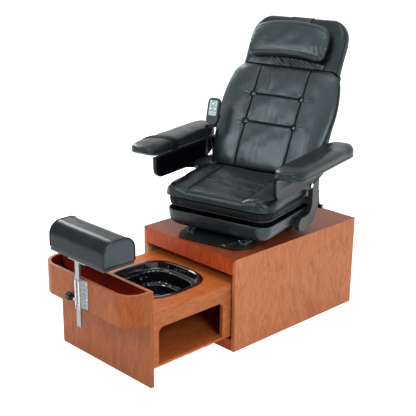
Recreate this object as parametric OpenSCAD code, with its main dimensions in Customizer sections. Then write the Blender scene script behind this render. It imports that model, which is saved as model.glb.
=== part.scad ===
// Pedicure spa chair: a reclining, swivelling massage chair on a cabinet whose pull-out
// drawer carries a foot basin, a tool tray and a height-adjustable footrest.
// X is across the chair, +Y runs to its back and Z is up. The seat's swivel axis is Z.

/* [Cabinet] */
// Width of the cabinet and of the drawer front
cab_w = 635; // [560:5:720]
// Depth of the cabinet, front to back
cab_d = 872; // [800:4:960]
// Height of the cabinet's top
cab_h = 464; // [430:2:500]
// Thickness of the cabinet's boards
board_t = 18; // [15:1:22]
// Height of the rail across the front, under the top
apron_h = 80; // [50:2:100]
// Height of the plinth across the front
plinth_h = 54; // [40:1:60]
// Side of the glue blocks in the cabinet's corners
block_s = 32; // [20:1:40]

/* [Drawer] */
// Distance that the drawer stands open
drawer_open = 497; // [300:1:520]
// Length of the drawer's box
drawer_l = 697; // [600:1:720]
// Gap between the drawer's side and the cabinet's side
drawer_gap = 13; // [8:0.5:20]
// Distance from the cabinet's top down to the drawer's deck
deck_drop = 129; // [114:1:149]
// Thickness of the drawer's floor
floor_t = 12; // [9:1:18]
// Radius along the top edge of the drawer's sides
side_round = 6; // [2:0.5:8]
// Height of the gap under the drawer front
front_gap = 4; // [2:1:10]
// Distance from the cabinet's top down to the drawer front's top
front_drop = 6; // [2:1:20]
// Length of the side window
window_l = 394; // [250:2:400]
// Height of the side window's top
window_z = 259; // [200:1:290]
// Radius of the window's upper corners
window_r = 28; // [10:1:50]
// Distance from the drawer front to the window
window_y = 56; // [30:1:70]

/* [Runners] */
// Height of the space that a runner takes under the drawer
runner_h = 16; // [14:0.5:22]
// Width of a runner
runner_w = 52; // [40:1:60]
// Distance between the middles of the two runners
runner_gauge = 480; // [380:2:500]
// Thickness of the runners' steel
runner_t = 1.5; // [1:0.1:2]
// Play between two members of a runner
runner_play = 0.5; // [0.3:0.1:0.8]
// Length of a runner's fixed member
runner_l = 700; // [640:5:760]

/* [Basin] */
// Width of the basin's rim
basin_w = 392; // [340:2:420]
// Length of the basin's rim, front to back
basin_l = 400; // [340:2:404]
// Depth of the basin
basin_depth = 150; // [120:1:170]
// Radius of the rim's corners
basin_r = 128; // [80:1:150]
// Distance from the drawer front to the basin's middle
basin_y = 285; // [250:1:300]
// Width of the rim that lies on the deck
rim_w = 13; // [8:1:20]
// Thickness of the basin's wall
basin_t = 4; // [3:0.5:6]
// Width of each ledge inside the basin
ledge_w = 22; // [10:1:30]

/* [Tray] */
// Distance that the tray stands out from the drawer front
tray_d = 118; // [90:1:140]
// Height of the tray
tray_h = 146; // [100:1:180]
// Thickness of the tray's bent wall
tray_t = 16; // [10:1:20]
// Radius of the tray's front corners
tray_r = 95; // [60:1:110]

/* [Footrest] */
// Width of the footrest's pad
rest_w = 388; // [300:2:440]
// Depth of the footrest's pad, front to back
rest_d = 173; // [140:1:180]
// Height of the pad's crown above its board
rest_h = 118; // [80:1:140]
// Height of the pad's upright sides above its board
rest_side = 74; // [50:1:90]
// Height of the pad's board above the drawer front's top
rest_rise = 88; // [60:1:140]
// Distance that the pad's middle stands back from the post
rest_back = 79; // [40:1:80]
// Width of the flat post
post_w = 28; // [24:1:40]
// Thickness of the flat post
post_t = 10; // [8:0.5:12]
// Length of the flat post
post_l = 307; // [260:1:340]
// Height of the bracket
bracket_h = 138; // [100:1:144]
// Width of the bracket over its flanges
bracket_w = 90; // [70:1:110]
// Distance that the bracket holds the post off the tray
bracket_off = 12.5; // [10:0.5:20]
// Thickness of the bracket's steel
bracket_t = 3; // [2:0.5:4]
// Play between the post and the bracket
post_play = 0.5; // [0.3:0.1:1]
// Radius of the clamp knob over its lobes
knob_r = 20; // [14:0.5:20]
// Length of the clamp knob's grip
knob_l = 30; // [20:1:40]
// Radius of the clamp screw
stud_r = 5; // [4:0.5:6]

/* [Swivel and rails] */
// Turn of the seat from straight ahead
seat_yaw = 13; // [-20:1:20]
// Radius of the swivel bearing's ring
ring_r = 150; // [120:1:180]
// Height of the swivel bearing's ring
ring_h = 7; // [5:0.5:10]
// Radius of the swivel plate's spigot
spigot_r = 50; // [35:1:70]
// Running clearance of every pin and spigot in its bore
fit = 0.05; // [0.02:0.01:0.09]
// Thickness of the swivel plate
plate_t = 5; // [4:0.5:6]
// Width of the swivel plate
plate_w = 400; // [360:2:440]
// Distance from the swivel axis to the swivel plate's front edge
plate_front = 405; // [380:1:410]
// Distance between the two seat rails
rail_gauge = 300; // [240:2:320]
// Width of a seat rail
rail_w = 36; // [30:1:44]
// Height of a seat rail's lower member
rail_h = 12; // [11:0.5:14]
// Length of a seat rail's lower member
rail_l = 560; // [500:5:600]
// Length of a seat rail's upper member
slider_l = 480; // [420:5:500]

/* [Seat] */
// Width of the seat's shell at its top
shell_w = 572; // [540:2:576]
// Distance from the swivel axis to the shell's front
shell_front = 358; // [330:1:360]
// Height of the seat's shell
shell_h = 84; // [70:1:100]
// Thickness of the shell's wall
shell_t = 6; // [4:0.5:8]
// Gap between the shell's top and the seat pan
shell_gap = 14; // [8:1:20]
// Thickness of the seat pan
pan_t = 12; // [8:1:16]
// Height of the roll of padding under the cushion
border_h = 42; // [30:1:50]
// Width of the seat's cushion
seat_w = 580; // [560:2:580]
// Distance from the swivel axis to the cushion's front
seat_front = 368; // [356:1:384]
// Distance from the swivel axis to the cushion's back
seat_back = 88; // [80:1:90]
// Radius of the cushion's front corners
seat_r = 80; // [60:1:110]
// How much narrower the cushion is at its back, on each side
seat_taper = 12; // [0:1:20]
// Height of the cushion's crown above its roll
seat_crown = 82; // [60:1:90]
// Height of the cushion's crown at its front, above its edge
front_crown = 34; // [10:1:50]
// Height of the side rolls over the cushion's middle
side_roll = 14; // [0:1:20]
// Depth of the channels that are sewn in a cushion
channel_d = 9; // [4:0.5:12]

/* [Backrest] */
// Lean of the backrest from upright
back_lean = 30; // [24:1:34]
// Width of the back cushion at its widest
back_w = 640; // [600:2:644]
// Length of the back cushion
back_l = 515; // [460:1:520]
// Distance that the back cushion reaches below the fold
back_low = 32; // [16:1:34]
// Thickness of the back cushion
back_t = 60; // [50:1:70]
// Width of the head section
head_w = 540; // [500:2:560]
// Length of the backrest from its fold to its top
back_top = 794; // [760:1:820]
// Thickness of the head section
head_t = 70; // [60:1:80]
// Distance between the two lines of channels
tuft_gauge = 276; // [220:2:300]
// Distance from the fold to the lower row of buttons
tuft_low = 203; // [180:1:220]
// Distance from the fold to the upper row of buttons
tuft_high = 350; // [320:1:370]
// Radius of a button
button_r = 11; // [8:0.5:14]
// Radius of the recline pins
pin_r = 8; // [6:0.5:10]

/* [Pillow] */
// Width of the pillow
pillow_w = 430; // [360:2:450]
// Height of the pillow
pillow_h = 177; // [150:1:190]
// How far the pillow's ends hang below its middle
pillow_sag = 31; // [0:1:34]
// Radius of the pillow's corners
pillow_r = 48; // [30:1:60]
// Thickness of the pillow
pillow_t = 62; // [50:1:70]
// Width of the strap that holds the pillow
strap_w = 116; // [60:2:130]

/* [Armrests] */
// Distance from the shell's side to an armrest's inner edge
arm_in = 32; // [30:0.5:39]
// Width of an armrest's pad
arm_w = 150; // [110:1:155]
// Length of the rounded nose of an armrest's pad
arm_nose = 92; // [70:1:120]
// Length of an armrest's pad
arm_l = 610; // [500:5:640]
// Thickness of an armrest's pad
arm_t = 60; // [50:1:70]
// Height of an armrest's top above the roll under the cushion
arm_rise = 240; // [225:1:260]
// Distance from the swivel axis to the pad's front
arm_front = 415; // [380:1:430]
// Thickness of the side panel under a pad
panel_t = 20; // [14:1:24]
// Height of the side panel
panel_h = 106; // [90:1:116]
// Thickness of an arm bracket
arm_bt = 24; // [16:1:26]
// Radius of an armrest's pivot bolt
bolt_r = 6; // [5:0.5:8]

/* [Handset] */
// Width of the handset
hand_w = 66; // [50:1:68]
// Length of the handset
hand_l = 134; // [116:1:140]
// Thickness of the handset
hand_t = 22; // [18:1:26]
// Lean of the handset from upright
hand_lean = 14; // [8:1:18]
// Side of a square key
key_s = 13; // [8:0.5:14]
// Radius of the handset's cord
cord_r = 2.5; // [2:0.1:3]

/* [Hidden] */
$fn = 48;

// Colours
wood = "#a5653c";
wood_dark = "#7a3018";
leather = "#1b1f21";
black = "#141517";
zinc = "#b9bdc0";
steel = "#6f7478";

// Cabinet
cab_x = cab_w / 2;
cab_y = cab_d / 2;
in_x = cab_x - board_t;

// Drawer
box_x = in_x - drawer_gap;
front_back = -cab_y - drawer_open;
front_face = front_back - board_t;
front_top = cab_h - front_drop;
deck_z = cab_h - deck_drop;
box_back = front_back + drawer_l;
bearer_z = plinth_h + 2;
box_z = bearer_z + runner_h;
floor_z = box_z + floor_t;
window_front = front_back + window_y;

// Basin
basin_mid = front_back + basin_y;
rim_z = deck_z;

// Tray, bracket and post
tray_face = front_face - tray_d;
tray_z = front_top - tray_h;
bracket_z = front_top - 2 - bracket_h;
post_back = tray_face - bracket_off - post_play;
post_mid = post_back - post_t / 2;
rest_z = front_top + rest_rise;
post_top = rest_z - 4;
rest_mid = post_mid + rest_back;
wall_x = post_w / 2 + post_play;
knob_z = bracket_z + 42;
knob_in = 50;

// Stack of the swivel, the rails and the seat
plate_z = cab_h + ring_h + 1;
rail_z = plate_z + plate_t;
rail_front = -330;
seat_z = rail_z + rail_h + 11;
pan_z = seat_z + shell_h + shell_gap;
border_z = pan_z + pan_t;
cushion_z = border_z + border_h;
shell_back = 150;

// Backrest: s runs up the lean from the fold, n stands out of its front
fold_y = 56;
fold_z = cushion_z + 105;
board_back = 9;
hinge_y = 110;
hinge_z = cushion_z + 38;
head_n = -20;
rear_n = -128;

// Armrests
pivot_y = -25;
pivot_z = cushion_z + 68;
arm_z = cushion_z + arm_rise;
pad_z = arm_z - arm_t;
panel_in = shell_w / 2 + arm_in;
arm_x = panel_in - 4 - arm_bt;
arm_back = arm_l - arm_front;

// Handset, seated in its holder
hand_x = -281;
hand_y = 76;
hand_z = arm_z + 20;

// The cord, from the grommet behind the shell up to the handset's foot
cord_points = [[-80, 152, 545], [-80, 166, 545], [-84, 184, 538], [-96, 198, 518],
    [-122, 201, 502], [-160, 200, 495], [-200, 186, 496], [-238, 170, 506],
    [-268, 156, 526], [-288, 143, 556], [-300, 134, 596], [-305, 129, 640],
    [-306, 125, 690], [-306, 120, 740], [-306, 109, 785], [-304, 94, 825],
    [-298, 77, 858], [-289, 65, 882], [-282, 60.5, 898], [-281, 65.1, 913.9]];

// ---- Shared shapes ----

// A box from its low corner to its high corner
module block(low, high) {
    translate(low) cube(high - low);
}

// A rectangle with round corners, centred
module round_rect(w, d, r) {
    square([w - 2 * r, d], center = true);
    square([w, d - 2 * r], center = true);
    for (sx = [-1, 1], sy = [-1, 1])
        translate([sx * (w / 2 - r), sy * (d / 2 - r)]) circle(r);
}

// A rod along X between two places
module rod_x(x0, x1, y, z, r) {
    translate([x0, y, z]) rotate([0, 90, 0]) cylinder(h = x1 - x0, r = r);
}

// A flat shape drawn in (y, z), given a thickness along X
module side_plate(x0, t) {
    translate([x0, 0, 0]) rotate([90, 0, 90]) linear_extrude(t) children();
}

// Children on the left and the right
module both_sides() {
    for (m = [0, 1]) mirror([m, 0, 0]) children();
}

// The seat's own frame, turned about the swivel axis
module turned() {
    rotate([0, 0, seat_yaw]) children();
}

// The backrest's frame: x across, y up the lean, z out of the front
module on_back() {
    turned() translate([0, fold_y, fold_z]) rotate([90 - back_lean, 0, 0]) children();
}

// The handset's frame: x across, y up its length, z out of its face
module on_handset() {
    turned() translate([hand_x, hand_y, hand_z]) rotate([90 - hand_lean, 0, 0]) children();
}

// Points round a rounded rectangle at height z, n to each corner
function ring(w, d, r, z, n = 8, c = [0, 0]) =
    [for (q = [0:3], i = [0:n - 1])
        let (a = 90 * q + 90 * i / (n - 1), sx = q == 0 || q == 3 ? 1 : -1, sy = q < 2 ? 1 : -1)
        [c.x + sx * (w / 2 - r) + r * cos(a), c.y + sy * (d / 2 - r) + r * sin(a), z]];

function signed_power(v, p) = sign(v) * pow(abs(v), p);

// Points round a squared oval, in (x, y), with half sides a and b
function oval(a, b, p, n) =
    [for (i = [0:n - 1]) let (t = 360 * i / n)
        [a * signed_power(cos(t), 2 / p), b * signed_power(sin(t), 2 / p)]];

function mean(points) = [for (k = [0:2]) let (v = [for (q = points) q[k]])
    v * [for (q = points) 1] / len(points)];

// A closed solid through rings of the same number of points, each turning to the left
// as it is seen from the far end
module ring_solid(rings) {
    n = len(rings[0]);
    m = len(rings);
    points = concat([for (r = rings) each r], [mean(rings[0]), mean(rings[m - 1])]);
    sides = [for (k = [0:m - 2], i = [0:n - 1])
        let (a = k * n + i, b = k * n + (i + 1) % n)
        each [[a, a + n, b + n], [a, b + n, b]]];
    foot = [for (i = [0:n - 1]) [n * m, i, (i + 1) % n]];
    head = [for (i = [0:n - 1]) [n * m + 1, (m - 1) * n + (i + 1) % n, (m - 1) * n + i]];
    polyhedron(points, concat(sides, foot, head), convexity = 6);
}

// The k-th place round the edge of a grid with nu by nv cells
function edge_place(k, nu, nv) = k < nu ? [k, 0] : k < nu + nv ? [nu, k - nu]
    : k < 2 * nu + nv ? [2 * nu + nv - k, nv] : [0, 2 * nu + 2 * nv - k];

// A cushion: a grid of points for its face, then rings that draw its sides in to its back.
// Each of sides is [share of the face's outline, height].
module cushion_form(nu, nv, face, sides) {
    mid = mean([face(0, 0), face(nu, 0), face(0, nv), face(nu, nv)]);
    loop = 2 * (nu + nv);
    grid = [for (j = [0:nv], i = [0:nu]) face(i, j)];
    lower = [for (s = sides, k = [0:loop - 1])
        let (p = edge_place(k, nu, nv), f = face(p.x, p.y))
        [mid.x + (f.x - mid.x) * s[0], mid.y + (f.y - mid.y) * s[0], s[1]]];
    base = len(grid);
    last = base + (len(sides) - 1) * loop;
    // Index of the k-th point of a side's ring; ring -1 is the face's own edge
    at = function(r, k) let (q = k % loop, p = edge_place(q, nu, nv))
        r < 0 ? p.y * (nu + 1) + p.x : base + r * loop + q;
    faces = concat(
        [for (j = [0:nv - 1], i = [0:nu - 1]) let (a = j * (nu + 1) + i, b = a + nu + 1)
            each [[a, b, b + 1], [a, b + 1, a + 1]]],
        [for (r = [-1:len(sides) - 2], k = [0:loop - 1])
            each [[at(r, k), at(r, k + 1), at(r + 1, k + 1)],
                [at(r, k), at(r + 1, k + 1), at(r + 1, k)]]],
        [for (k = [0:loop - 1]) [last + loop, last + k, last + (k + 1) % loop]]);
    polyhedron(concat(grid, lower, [[mid.x, mid.y, sides[len(sides) - 1][1]]]), faces,
        convexity = 6);
}

// How far a round corner of radius r cuts in, at distance d from the end
function corner_cut(d, r) = d >= r ? 0 : r - sqrt(r * r - (r - d) * (r - d));

// How deep a sewn channel is at distance d from its line
function channel(d, half = 11) = channel_d * exp(-d * d / (half * half / 2));

// A share that starts and ends its rise from 0 to 1 gently
function ease(t) = let (k = min(1, max(0, t))) k * k * (3 - 2 * k);

// How full a padded edge is, at share t of the way from the middle to the edge
function fullness(t, p = 4) = pow(max(0, 1 - pow(min(1, abs(t)), p)), 0.5);

// ---- Cabinet ----

module cabinet_side() {
    color(wood) translate([0, cab_y, 0]) rotate([90, 0, 0]) linear_extrude(cab_d)
        polygon([[in_x, 0], [cab_x, 0], [cab_x, cab_h], [in_x, cab_h - board_t]]);
}

module cabinet_side_left() {
    mirror([1, 0, 0]) cabinet_side();
}

module cabinet_side_right() {
    cabinet_side();
}

// The top's ends and front edge are mitred to the sides and the apron
module cabinet_top() {
    color(wood) difference() {
        translate([0, cab_y, 0]) rotate([90, 0, 0]) linear_extrude(cab_d)
            polygon([[-in_x, cab_h - board_t], [in_x, cab_h - board_t], [cab_x, cab_h], [-cab_x, cab_h]]);
        side_plate(-in_x, 2 * in_x) polygon([[-cab_y, cab_h], [-cab_y - 1, cab_h],
            [-cab_y - 1, cab_h - board_t - 1], [-cab_y + board_t + 1, cab_h - board_t - 1]]);
    }
}

module cabinet_apron() {
    color(wood) side_plate(-in_x, 2 * in_x) polygon([[-cab_y, cab_h - apron_h],
        [-cab_y + board_t, cab_h - apron_h], [-cab_y + board_t, cab_h - board_t], [-cab_y, cab_h]]);
}

module cabinet_back() {
    color(wood) block([-in_x, cab_y - board_t, 0], [in_x, cab_y, cab_h - board_t]);
}

module cabinet_plinth() {
    color(wood) block([-in_x, -cab_y, 0], [in_x, -cab_y + board_t, plinth_h]);
}

module cabinet_base() {
    color("burlywood")
        block([-in_x, -cab_y + board_t, 0], [in_x, cab_y - board_t, board_t]);
}

// Rails that lift the drawer's runners over the plinth
module runner_bearers() {
    color("burlywood") both_sides() block([runner_gauge / 2 - 20, -cab_y + board_t, board_t],
        [runner_gauge / 2 + 20, cab_y - board_t, bearer_z]);
}

// Glue blocks: upright in the back corners and lying under the top
module corner_blocks() {
    low = cab_h - board_t - block_s;
    color("burlywood") both_sides() {
        block([in_x - block_s, cab_y - board_t - block_s, board_t], [in_x, cab_y - board_t, low]);
        block([in_x - block_s, -cab_y + board_t, low],
            [in_x, cab_y - board_t, cab_h - board_t]);
    }
}

// ---- Drawer runners: three nested members, left and right ----

runner_y = -cab_y + 6;
web_z = bearer_z + 0.45 * runner_h;
mid_w = runner_w / 2 - runner_t - runner_play;
inner_w = mid_w - runner_t - runner_play;

module runner_pair(y, l, half, low, high, web) {
    color(zinc) both_sides() translate([runner_gauge / 2, y, 0]) {
        block([-half, 0, web], [half, l, web + runner_t]);
        block([-half, 0, low], [-half + runner_t, l, high]);
        block([half - runner_t, 0, low], [half, l, high]);
    }
}

module runner_outers() {
    runner_pair(runner_y, runner_l, runner_w / 2, bearer_z, bearer_z + 0.6 * runner_h, bearer_z);
}

module runner_middles() {
    runner_pair(runner_y - drawer_open / 2, runner_l - 100, mid_w,
        bearer_z + runner_t + runner_play, box_z - 1, web_z);
}

module runner_inners() {
    runner_pair(front_back + 8, drawer_l - 17, inner_w,
        web_z + runner_t + runner_play, box_z, box_z - runner_t);
}

// ---- Drawer ----

module drawer_front() {
    color(wood) block([-cab_x, front_face, front_gap], [cab_x, front_back, front_top]);
}

// The tray's plan: a trough across the drawer front with round front corners
module tray_plan(inset) {
    x = cab_x - tray_r;
    y = tray_face + tray_r;
    translate([-cab_x + inset, y]) square([cab_w - 2 * inset, front_face - y]);
    translate([-x, tray_face + inset]) square([2 * x, tray_d - inset]);
    for (s = [-1, 1]) intersection() {
        translate([s * x, y]) circle(tray_r - inset, $fn = 96);
        translate([-cab_x, tray_face]) square([cab_w, tray_r]);
    }
}

// Places of the bracket's four screws, in (x, z)
screw_x = bracket_w / 2 - 11;
screw_places = [for (sx = [-1, 1], z = [bracket_z + 50, bracket_z + bracket_h - 14])
    [sx * screw_x, z]];

module screw_bores(r) {
    for (p = screw_places)
        translate([p.x, tray_face - bracket_t - 1, p.y]) rotate([-90, 0, 0])
            cylinder(h = bracket_t + 13.5, r = r, $fn = 24);
}

module tray_wall() {
    color(wood) difference() {
        translate([0, 0, tray_z]) linear_extrude(tray_h) difference() {
            tray_plan(0);
            tray_plan(tray_t);
            translate([-cab_x + tray_t, front_face - 1]) square([cab_w - 2 * tray_t, 2]);
        }
        screw_bores(2.6);
    }
}

module tray_floor() {
    color(wood_dark) translate([0, 0, tray_z]) linear_extrude(floor_t) tray_plan(tray_t);
}

// Section of a drawer side, rounded along its top outer edge
module side_section() {
    translate([box_x - board_t, box_z]) square([board_t, deck_z - side_round - box_z]);
    translate([box_x - board_t, box_z]) square([board_t - side_round, deck_z - box_z]);
    translate([box_x - side_round, deck_z - side_round]) circle(side_round);
}

module drawer_side() {
    translate([0, box_back, 0]) rotate([90, 0, 0]) linear_extrude(drawer_l) side_section();
}

module drawer_side_left() {
    color(wood) mirror([1, 0, 0]) drawer_side();
}

// The cubby's window, open down through the side's lower edge
module window_shape() {
    y1 = window_front + window_l;
    translate([window_front, box_z - 1]) square([window_l, window_z - window_r - box_z + 1]);
    translate([window_front + window_r, box_z - 1])
        square([window_l - 2 * window_r, window_z - box_z + 1]);
    for (y = [window_front + window_r, y1 - window_r])
        translate([y, window_z - window_r]) circle(window_r);
}

module drawer_side_right() {
    color(wood) difference() {
        drawer_side();
        side_plate(box_x - board_t - 1, board_t + 2) window_shape();
    }
}

module basin_outline(inset) {
    translate([0, basin_mid]) polygon(oval(basin_w / 2 - inset, basin_l / 2 - inset, 3.2, 72));
}

module drawer_deck() {
    x = box_x - board_t;
    color(wood) difference() {
        block([-x, front_back, deck_z - board_t], [x, box_back - board_t, deck_z]);
        translate([0, 0, deck_z - board_t - 1]) linear_extrude(board_t + 2)
            basin_outline(rim_w);
    }
}

// The floor's lip runs out through the window, flush with the side
module drawer_floor() {
    x = box_x - board_t;
    color(wood) {
        block([-x, front_back, box_z], [x, box_back - board_t, floor_z]);
        block([x - 1, window_front, box_z], [box_x, window_front + window_l, floor_z]);
    }
}

module drawer_back() {
    x = box_x - board_t;
    color(wood) block([-x, box_back - board_t, box_z], [x, box_back, deck_z]);
}

// ---- Basin ----

// Height of each ledge above the basin's floor, as a share of its depth
ledge_low = 0.42;
ledge_high = 0.82;
basin_low = rim_z - basin_depth;

// A ring of the basin; flute draws every second point in
function tub_ring(inset, z, flute = 0) =
    let (o = oval(basin_w / 2 - inset, basin_l / 2 - inset, 3.2, 72))
    [for (i = [0:71]) let (k = 1 - (i % 2) * flute)
        [o[i].x * k, basin_mid + o[i].y * k, z]];

module basin_tub() {
    z1 = basin_low + ledge_high * basin_depth;
    z2 = basin_low + ledge_low * basin_depth;
    i0 = rim_w + 3;
    i1 = i0 + 6 + ledge_w;
    i2 = i1 + 6 + ledge_w;
    i3 = i2 + 8;
    t = basin_t;
    color(black) ring_solid([
        tub_ring(i3 + 6, basin_low), tub_ring(i3, basin_low + 8),
        tub_ring(i2, z2 - t), tub_ring(i1 + 6, z2 - t + 1),
        tub_ring(i1, z1 - t), tub_ring(i0 + 6, z1 - t + 1),
        tub_ring(i0, rim_z), tub_ring(2, rim_z), tub_ring(0, rim_z + 3),
        tub_ring(3, rim_z + 6), tub_ring(i0 - 3, rim_z + 6), tub_ring(i0 + t - 1, rim_z + 3),
        tub_ring(i0 + t + 5, z1 + 3), tub_ring(i0 + t + 8, z1), tub_ring(i1 + t - 3, z1),
        tub_ring(i1 + t, z1 - 4, 0.012), tub_ring(i1 + t + 5, z2 + 4, 0.012),
        tub_ring(i1 + t + 8, z2), tub_ring(i2 + t - 3, z2), tub_ring(i2 + t, z2 - 4),
        tub_ring(i3 + t, basin_low + t + 12), tub_ring(i3 + t + 8, basin_low + t)]);
}

// ---- Footrest ----

stud_y = tray_face - knob_r - 1.5;
bracket_x = wall_x + bracket_t;
guide_y = post_back - post_t - post_play;

module footrest_bracket() {
    b = bracket_w / 2;
    top = bracket_z + bracket_h;
    color(zinc) difference() {
        union() {
            translate([0, tray_face, 0]) rotate([90, 0, 0]) linear_extrude(bracket_t)
                polygon([[-b, top], [b, top], [b, bracket_z + 14], [b - 9, bracket_z],
                    [-bracket_x, bracket_z], [-b, bracket_z + 36]]);
            block([-bracket_x, tray_face - bracket_off, bracket_z], [bracket_x, tray_face, top]);
            both_sides() {
                block([wall_x, guide_y - bracket_t, bracket_z], [bracket_x, tray_face, top]);
                block([7, guide_y - bracket_t, bracket_z + 20], [bracket_x, guide_y, top]);
            }
            rod_x(-bracket_x - 10, -wall_x, stud_y, knob_z, 8, $fn = 6);
        }
        rod_x(-bracket_x - 11, -wall_x + 1, stud_y, knob_z, stud_r + fit);
        screw_bores(2.6);
    }
}

module bracket_screws() {
    color(steel) for (p = screw_places) translate([p.x, tray_face - bracket_t, p.y])
        rotate([90, 0, 0]) {
            cylinder(h = 2.5, r1 = 4.5, r2 = 3, $fn = 32);
            translate([0, 0, -15]) cylinder(h = 15, r = 2.5, $fn = 24);
        }
}

// The post and the plate that is welded on its top
module footrest_post() {
    color(steel) {
        block([-post_w / 2, post_back - post_t, post_top - post_l], [post_w / 2, post_back, post_top]);
        block([-60, post_back - post_t, post_top], [60, rest_mid + 45, rest_z]);
    }
}

module footrest_board() {
    color(black) block([-rest_w / 2 + 5, rest_mid - rest_d / 2 + 2, rest_z],
        [rest_w / 2 - 5, rest_mid + rest_d / 2 - 5, rest_z + floor_t]);
}

// A loaf with upright sides and round shoulders
module footrest_cushion() {
    r = rest_h - rest_side / 1.3;
    d = rest_d / 2;
    color(leather) translate([0, rest_mid, rest_z + floor_t]) side_plate(-rest_w / 2, rest_w) {
        translate([-d, 0]) square([rest_d, rest_h - r]);
        translate([r - d, 0]) square([rest_d - 2 * r, rest_h]);
        for (s = [-1, 1]) intersection() {
            translate([s * (d - r), rest_h - r]) circle(r, $fn = 96);
            translate([-d, 0]) square([rest_d, rest_h]);
        }
    }
}

// A five-lobed grip on a screw that bears on the post's edge
module clamp_knob() {
    color(black) {
        rod_x(-knob_in, -post_w / 2 - 0.3, stud_y, knob_z, stud_r);
        rod_x(-knob_in - knob_l, -knob_in, stud_y, knob_z, 0.72 * knob_r);
        for (a = [0:72:359])
            rod_x(-knob_in - knob_l + 4, -knob_in - 6, stud_y + 0.7 * knob_r * cos(a),
                knob_z + 0.7 * knob_r * sin(a), 0.3 * knob_r, $fn = 32);
    }
}

// ---- Swivel and seat rails ----

lever_x = 118;
lever_y = -300;

module swivel_ring() {
    color(steel) difference() {
        translate([0, 0, cab_h]) cylinder(h = ring_h, r = ring_r, $fn = 96);
        translate([0, 0, cab_h - 1]) cylinder(h = ring_h + 2, r = spigot_r + fit, $fn = 96);
    }
}

module swivel_plate() {
    half = plate_w / 2;
    color(black) turned() {
        translate([0, 0, plate_z]) linear_extrude(plate_t)
            polygon([[-half, 75 - plate_front], [35 - half, -plate_front],
                [half - 55, -plate_front], [half, 70 - plate_front], [half, 250], [-half, 250]]);
        translate([0, 0, cab_h + 0.5]) cylinder(h = ring_h + 1, r = spigot_r, $fn = 96);
        translate([lever_x, lever_y, rail_z - 1]) cylinder(h = 9, r = 5);
    }
}

// Channels whose lips hold the upper rails down
module rail_lowers() {
    color(steel) turned() both_sides() translate([rail_gauge / 2, rail_front, rail_z]) {
        block([-rail_w / 2, 0, 0], [rail_w / 2, rail_l, 2]);
        for (m = [0, 1]) mirror([m, 0, 0]) {
            block([rail_w / 2 - 2, 0, 0], [rail_w / 2, rail_l, rail_h]);
            block([8, 0, rail_h - 2], [rail_w / 2, rail_l, rail_h]);
        }
    }
}

module rail_uppers() {
    color(steel) turned() both_sides() translate([rail_gauge / 2, rail_front + 40, rail_z]) {
        block([3.5 - rail_w / 2, 0, 2.5], [rail_w / 2 - 3.5, slider_l, rail_h - 3]);
        block([-5, 0, 3], [5, slider_l, rail_h + 8]);
        block([-rail_w / 2, 0, rail_h + 7], [rail_w / 2, slider_l, rail_h + 11]);
    }
}

// A bent steel bar that frees the rails when it is swung aside
module slide_lever() {
    color(zinc) turned() translate([lever_x, lever_y, rail_z + 0.5]) difference() {
        union() {
            cylinder(h = 5.5, r = 12);
            rotate([0, 0, -20]) translate([-7, -100, 0]) cube([14, 100, 4]);
            rotate([0, 0, -20]) translate([0, -100, 0]) cylinder(h = 7, r = 11);
        }
        translate([0, 0, -1]) cylinder(h = 8, r = 5 + fit);
    }
}

// ---- Seat ----

module plan_rings(w, front, back, r, steps) {
    ring_solid([for (s = steps)
        ring(w - 2 * s[0], front + back - 2 * s[0], r - s[0] * 0.5, s[1], 7,
            [0, (back - front) / 2])]);
}

// A padded tub round the frame, its foot drawn in
module seat_shell() {
    z1 = seat_z + shell_h;
    t = shell_t;
    color(leather) turned() difference() {
        plan_rings(shell_w, shell_front, shell_back, 62,
            [[54, seat_z], [32, seat_z + 5], [14, seat_z + 17], [4, seat_z + 38], [0, seat_z + 62],
                [1, z1 - 4], [3, z1], [t + 2, z1], [t + 2, z1 - 8], [t, seat_z + 60], [t + 5, seat_z + 38],
                [t + 15, seat_z + 20], [t + 32, seat_z + t + 4], [t + 54, seat_z + t]]);
        translate([-80, shell_back - 30, seat_z + 45]) rotate([-90, 0, 0])
            cylinder(h = 40, r = 8.5, $fn = 24);
    }
}

// Two box rails under a plate
module seat_frame() {
    color(steel) turned() {
        both_sides() block([rail_gauge / 2 - 20, 108 - shell_front, seat_z + shell_t],
            [rail_gauge / 2 + 20, shell_back - 80, pan_z]);
        translate([0, (shell_back - shell_front + 28) / 2, pan_z]) linear_extrude(pan_t)
            round_rect(shell_w - 38, shell_back + shell_front - 28, 60);
    }
}

module seat_border() {
    z = border_z;
    h = border_h;
    color(leather) turned() plan_rings(seat_w - 12, seat_front - 4, seat_back, seat_r + 2,
        [[16, z], [4, z + 0.18 * h], [0, z + 0.5 * h], [4, z + 0.82 * h], [14, z + h]]);
}

// Rows of the seat cushion, from its front to its back, close together at the channels
seam_x = 155;
seam_low = -215;
seam_high = -149;
seat_rows = [for (y = concat([0, 3, 12, 30, 60, 100, 135] - [for (i = [1:7]) seat_front],
    [for (s = [seam_low, seam_high], d = [-12, -6, 0, 6, 12]) s + d],
    [-115, -60, 0], [seat_back - 45, seat_back - 22, seat_back - 8, seat_back])) y];
// Columns of half a cushion: places out to the channel, then shares of the way to the edge
edge_shares = [0.2, 0.45, 0.68, 0.84, 0.94, 1];
function half_columns(seam) = concat([0, 0.35, 0.7], [for (d = [-12, -6, 0, 6, 12]) 1 + d / seam]);

function column(k, seam, half) = let (c = half_columns(seam), n = len(c), m = abs(k),
    last = c[n - 1] * seam, x = m < n ? c[m] * seam : last + (half - last) * edge_shares[m - n])
    sign(k) * x;

columns = len(half_columns(100)) + len(edge_shares) - 1;

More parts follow.
